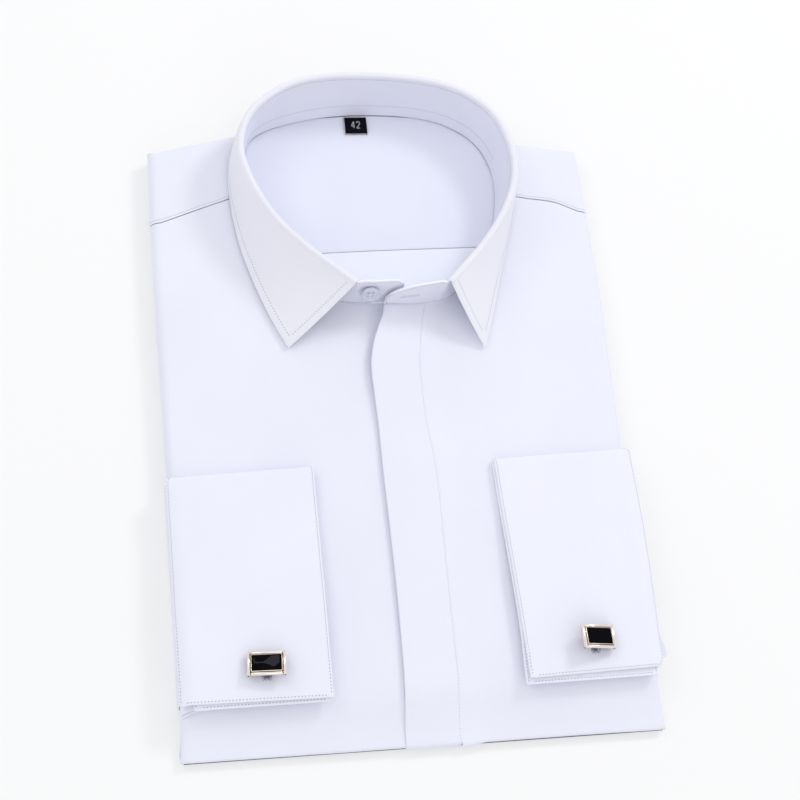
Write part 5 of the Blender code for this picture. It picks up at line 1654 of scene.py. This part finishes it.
def cufflink(row):
    """Half-round bars with dark joints on a dark base whose feet and lower edge paint shade, a thin inner lip
    and a cut stone whose pale facet paints a reflection.
    """
    link_in, link_up, turn, tip, dip = row["link"]
    x, y = cuff_place(row, link_in, link_up)
    cuff_top = height(x, y) + CLOTH + SEAM + cuff_lift(link_up) + 2 * CUFF_THICK + CUFF_FOLD_GAP
    half_x, half_y = LINK_FACE[0] / 2, LINK_FACE[1] / 2
    stone_x, stone_y = LINK_STONE[0] / 2, LINK_STONE[1] / 2
    stand_off = 1.0 + half_x * math.sin(math.radians(abs(tip))) + half_y * math.sin(math.radians(abs(dip)))
    pose = {"angle_x": dip, "angle_y": tip, "angle_z": turn, "place": (x, y, cuff_top + stand_off)}
    name = "cufflink_%s_" % row["name"]

    def put(part, solid, look, slot_name, node, shade=True):
        points, faces = solid
        piece = mesh_object(name + part, turned(points, **pose), faces, LOOKS[look], shade=shade)
        finished(piece, slot_name, name + node)

    # the dark base: its edge shows as the dark joints between the bars and as a painted shade line below
    # them, and its feet paint the shade at the face's lower corners
    solids = [layered(half_x, half_y, BASE_RINGS)]
    for sign in (-1, 1):
        shade_feet = [[(px + sign * (half_x - SHADE_FOOT_IN[0]), py - half_y + SHADE_FOOT_IN[1], pz)
                 for px, py, pz in rounded_ring(size, size, z, 0.8 * size)] for size, z in LINK_SHADE_FEET]
        solids.append(stacked(shade_feet))
    put("base", joined(solids), "dark_joint_and_shade_metal", "link_metal", "frame")
    # the four bars and the lip round the stone
    bar_y = (half_y - stone_y - LINK_LIP - 0.14) / 2
    bar_x = (half_x - stone_x - LINK_LIP - 0.24) / 2
    solids = []
    for sign in (-1, 1):
        solids.append(bar((sign * (half_x - bar_x), 0.0), "y", half_y, bar_x, 1.2, 3.1))
        reach = half_x - 2 * bar_x - LINK_JOINT
        solids.append(bar((0.0, sign * (half_y - bar_y)), "x", reach, bar_y, 1.2, 3.0))
    solids.append(layered(stone_x, stone_y, LIP_RINGS))
    put("bars", joined(solids), "metal", "link_metal", "frame")
    # the stone: a block whose top is bevelled
    put("stone_cut", layered(stone_x, stone_y, STONE_RINGS, 1), "stone", "link_stone", "stone", False)
    if row["name"] == "right":
        put("stone_painted_reflection", stone_painted_reflection(stone_x, stone_y), "facet", "link_stone", "stone", False)


# ---- loose plies at the cuffs
PLY_STEPS = 24
PLY_SECTION = ((0.0, 0.0), (0.2, 0.12), (0.55, 0.15), (1.0, 0.0))   # share inward, lift


def ply_strip(name, edge, inward, thickness, seed):
    """A ply that shows as a strip along an edge path and runs inward under its neighbours."""
    keyed = with_arc_keys([point[:2] for point in edge])
    path = curve_at(keyed[:, 0], np.array(edge, float), keyed[-1, 0] * np.arange(PLY_STEPS + 1) / PLY_STEPS)
    inward = np.array(inward, float)
    grid = np.stack([path + inward * share + np.array([0.0, 0.0, lift])
                     for share, lift in PLY_SECTION], axis=1)
    cloth = Cloth(grid, grid, step=0.8, radii=(0.3,) * 4, thickness=thickness)
    gathers(cloth, "v0", rise=0.08, seed=seed, reach=2.0)
    piece = cloth.build(name, LOOKS["cuff"])
    finished(piece, "cloth")
    length, depth = float(cloth.u[-1]) * MM, float(cloth.v[-1]) * MM
    max(depth, PLY_FLAT)


# ---- make the cloth
def shown(name, cloth, look, slot_name, node):
    """Build a cloth piece and let it stand for its node."""
    piece = cloth.build(name, LOOKS[look], getattr(cloth, "slots", ()))
    finished(piece, slot_name, node)


BODY = (
    # piece, look, slot, cut flat to (m), held, area in m2 where it isn't a rectangle
    ("front_right", "cloth", "cloth", (0.143, 0.318), "folded", 0.0385),
    ("front_left", "cloth", "cloth", (0.112, 0.318), "folded", 0.031),
    ("placket_fly", "cloth", "cloth", (0.029, 0.243), "laid", None),
    ("yoke_outer", "cloth", "cloth", (0.262, 0.082), "folded", 0.0069),
    ("yoke_inner", "inside", "cloth_inside", (0.142, 0.088), "laid", None),
    ("back_panel", "back", "cloth_inside", (0.116, 0.029), "laid", None),
)


def make_body():
    made = {"front_right": front_right(), "front_left": front_left(), "placket_fly": placket_fly(),
            "yoke_outer": yoke_outer(), "yoke_inner": yoke_inner(), "back_panel": back_panel()}
    for name, cloth in made.items():
        if name in ("yoke_inner", "back_panel"):
            body_relief(cloth, INSIDE_CREASES, much=1.6)
        else:
            body_relief(cloth)
    seam_ridge(made["yoke_outer"])
    fly = made["placket_fly"]
    sewn(fly, "u1", FLY_STITCH, depth=0.07)
    gathers(fly, "u1", rise=0.07, seed=31)
    gathers(fly, "u0", rise=0.10, seed=32, reach=4.0)
    for name, look, slot_name, flat, held, area in BODY:
        shown("cloth_" + name, made[name], look, slot_name, name)
    return made


RIDGE_HIGH = 0.42
RIDGE_WIDE = 4.5         # of the allowances, above the seam
RIDGE_FROM_X = 58.0


def seam_ridge(yoke):
    """The allowances under the yoke's lower edge lift it beyond the seam."""
    away, _ = yoke.away("v0")
    outside = smooth((np.abs(yoke.middle[..., 0]) - RIDGE_FROM_X) / 8.0)
    yoke.relief(outside * RIDGE_HIGH * (1.0 - smooth((away - RIDGE_WIDE) / 3.0)))
    sewn(yoke, "v0", YOKE_STITCH, depth=0.16)
    gathers(yoke, "v0", rise=0.05, seed=33)


LEAF_SWELL = (0.16, 62.0, 45)
STAND_SWELL = (0.12, 55.0, 46)
STAND_CREASES = (
    # along the band from its right end
    (2.0, 9.0, 30.0, 13.0, 1.0, 2.2, 0.35), (5.0, 4.0, 24.0, 5.5, -1.0, 1.6, -0.3),
)
STAND_END_CREASES = (
    # and back from its left end
    (26.0, 8.0, 4.0, 5.0, 1.5, 2.0, 0.3), (36.0, 5.0, 14.0, 8.0, -1.0, 1.8, -0.3),
)


def make_collar():
    stand, leaf = collar_stand(), collar_leaf()
    for end in ("u0", "u1", "v1"):
        sewn(leaf, end, LEAF_STITCH, depth=0.12)
        gathers(leaf, end, rise=0.035, seed=41 + int(end[1]))
    away, along = leaf.away("v1")
    leaf.relief(swells(along, away, [LEAF_SWELL]) * smooth((leaf.v[None, :] - 6.0) / 8.0))
    stand.relief(swells(*stand.away("v0")[::-1], [STAND_SWELL]))
    length = stand.u[-1]
    rows = [*STAND_CREASES] + [(length - x0, y0, length - x1, y1, *rest)
                               for x0, y0, x1, y1, *rest in STAND_END_CREASES]
    up, along = stand.away("v0")
    stand.relief(-creases(along, up, rows))
    for end in ("v0", "v1"):
        sewn(stand, end, STAND_STITCH, depth=0.1)
    shown("cloth_collar_stand", stand, "stand", "collar_cloth", "collar_stand")
    shown("cloth_collar_leaf", leaf, "collar", "collar_cloth", "collar_leaf")
    sew_collar(stand, leaf)


def make_sleeves(made):
    for row in SLEEVES:
        name = "sleeve_" + row[0]
        cloth = sleeve(row)
        body_relief(cloth, ())
        shown("cloth_" + name, cloth, "cloth", "cloth", name)
    for seed, row in enumerate(CUFFS):
        cloth = cuff(row)
        name = "cuff_" + row["name"]
        high = smooth((cloth.v[None, :] - cloth.v[-1] / 2) / 20.0) + 0.0 * cloth.u[:, None]
        cloth.relief(high * 0.22 * swell(*cloth.away("v1"), 58.0, 50 + seed))
        for index, end in enumerate(("u0", "u1", "v0", "v1")):
            sewn(cloth, end, CUFF_STITCH, depth=0.12)
            gathers(cloth, end, rise=0.16, seed=60 + 4 * seed + index)
        made[name] = cloth
        shown("cloth_" + name, cloth, "cuff", "cloth", name)


LOOSE_PLIES = (
    # name, edge, which way and how far it runs in, thickness, seed
    ("ply_corner_upper", CORNER_PLIES[0], (0.0, 4.2, 0.0), 0.7, 73),
    ("ply_corner_lower", CORNER_PLIES[1], (0.0, 4.2, 0.0), 0.7, 74),
    ("ply_sleeve_corner", SLEEVE_CORNER, (-6.4, 0.9, 0.3), 0.8, 75),
)


def make_shirt():
    core = core_piece(LOOKS["inside"])
    finished(core, "cloth_inside", "folded_core")
    made = make_body()
    make_collar()
    make_sleeves(made)
    # ply edges at the right cuff's open corner, and the sleeve's loose corner beside the left cuff
    for name, edge, inward, thickness, seed in LOOSE_PLIES:
        ply_strip(name, edge, inward, thickness, seed)
    sew_body(made)
    sew_cuffs(made)
    neck_button()
    neck_label()
    for row in CUFFS:
        cufflink(row)
        bpy.data.objects["cufflink_%s_post" % row["name"]].data.materials[0] = LOOKS["metal"]


# ---- camera, light and floor
CAMERA = {"turn": -28.34, "rise": 66.01, "roll": 24.11, "away": 1041.17, "lens": 87.37,
          "aim": (6.15, 187.57, 0.0)}
WORLD = 0.845
SKY_LOW = (0.80, 0.805, 0.82)
SKY_HIGH = (1.07, 1.08, 1.10)
LIGHTS = (
    # name, place in metres, size, power, colour
    ("key", (1.014, 0.879, 1.217), 0.42, 6.3, (1.0, 0.995, 0.985)),
    ("fill", (-1.01, 0.722, 1.299), 0.9, 2.7, (1.0, 1.0, 1.0)),
    ("front", (0.12, -1.45, 0.80), 1.1, 1.9, (1.0, 1.0, 1.0)),
)
FLOOR_GREYS = (0.598, 0.60, 0.602)   # its noise runs from the first to the last
FLOOR_GLOW = 0.338
FLOOR_REACH = 3.0        # metres
FLOOR_DROP = 0.0002      # metres, so that the floor and the part's underside don't meet
HEM_SHADOW_Z = -0.12
HEM_SHADOW_OUTLINE = (
    # x, y of a dark sheet on the table that paints the shadow right under the hem's edge
    (-122.2, 0.9), (-121.6, 0.25), (123.6, 0.25), (124.2, 0.9), (124.2, 3.0), (-122.2, 3.0),
)


def camera():
    turn, rise, roll = (math.radians(CAMERA[key]) for key in ("turn", "rise", "roll"))
    back = Vector((math.sin(turn) * math.cos(rise), -math.cos(turn) * math.cos(rise), math.sin(rise)))
    flat_right = Vector((math.cos(turn), math.sin(turn), 0.0))
    flat_up = back.cross(flat_right)
    right = flat_right * math.cos(roll) + flat_up * math.sin(roll)
    up = -flat_right * math.sin(roll) + flat_up * math.cos(roll)
    place = (Vector(CAMERA["aim"]) + Vector(SHIFT) + back * CAMERA["away"]) * MM
    data = bpy.data.cameras.new("camera")
    data.lens = CAMERA["lens"]
    data.sensor_width = 36.0
    data.clip_start = 0.05
    made = linked("camera", data)
    made.matrix_world = Matrix.Translation(place) @ Matrix((right, up, back)).transposed().to_4x4()
    bpy.context.scene.camera = made


def area_light(name, place, size, power, colour):
    data = bpy.data.lights.new(name, "AREA")
    data.shape = "DISK"
    data.size = size
    data.energy = power
    data.color = colour
    made = linked(name, data)
    made.location = place
    made.rotation_euler = (-Vector(place)).to_track_quat("-Z", "Y").to_euler()


def stage():
    dark, grey, pale = ((value,) * 3 for value in FLOOR_GREYS)
    look, tree, shader = new_look("pale_floor", grey, 0.9, Specular_IOR_Level=0.1,
                                  Emission_Color=(1.0, 1.0, 1.0, 1.0), Emission_Strength=FLOOR_GLOW)
    noise = add_node(tree, "TexNoise", {"Scale": 3.0})
    tree.links.new(add_ramp(tree, noise.outputs["Fac"], dark, pale), shader.inputs["Base Color"])
    mesh = bpy.data.meshes.new("floor")
    corners = [(x * FLOOR_REACH, y * FLOOR_REACH, 0.0) for x, y in ((-1, -1), (1, -1), (1, 1), (-1, 1))]
    mesh.from_pydata(corners, [], [(0, 1, 2, 3)])
    mesh.materials.append(look)
    floor = linked("floor", mesh)
    floor.location.z = -FLOOR_DROP
    # a dark sheet on the table right under the hem: painted shadow
    look = noised_look("painted_shadow_under_hem", (0.14, 0.14, 0.15), 0.95, (300.0, 0.9, 1.0, 0.0))
    points = [(x, y, HEM_SHADOW_Z) for x, y in HEM_SHADOW_OUTLINE]
    hem_shadow_sheet = mesh_object("painted_shadow_under_hem", points, [list(range(len(points)))], look, shade=False)
    world = bpy.data.worlds.new("studio")
    world.use_nodes = True
    tree = world.node_tree
    background = tree.nodes["Background"]
    background.inputs["Strength"].default_value = WORLD
    parts = add_node(tree, "SeparateXYZ", Vector=add_node(tree, "TexCoord").outputs["Generated"])
    tree.links.new(add_ramp(tree, parts.outputs["Z"], SKY_LOW, SKY_HIGH), background.inputs["Color"])
    bpy.context.scene.world = world
    for name, place, size, power, colour in LIGHTS:
        area_light(name, place, size, power, colour)
    bpy.context.scene.view_settings.view_transform = "Standard"


stage()
camera()
make_shirt()
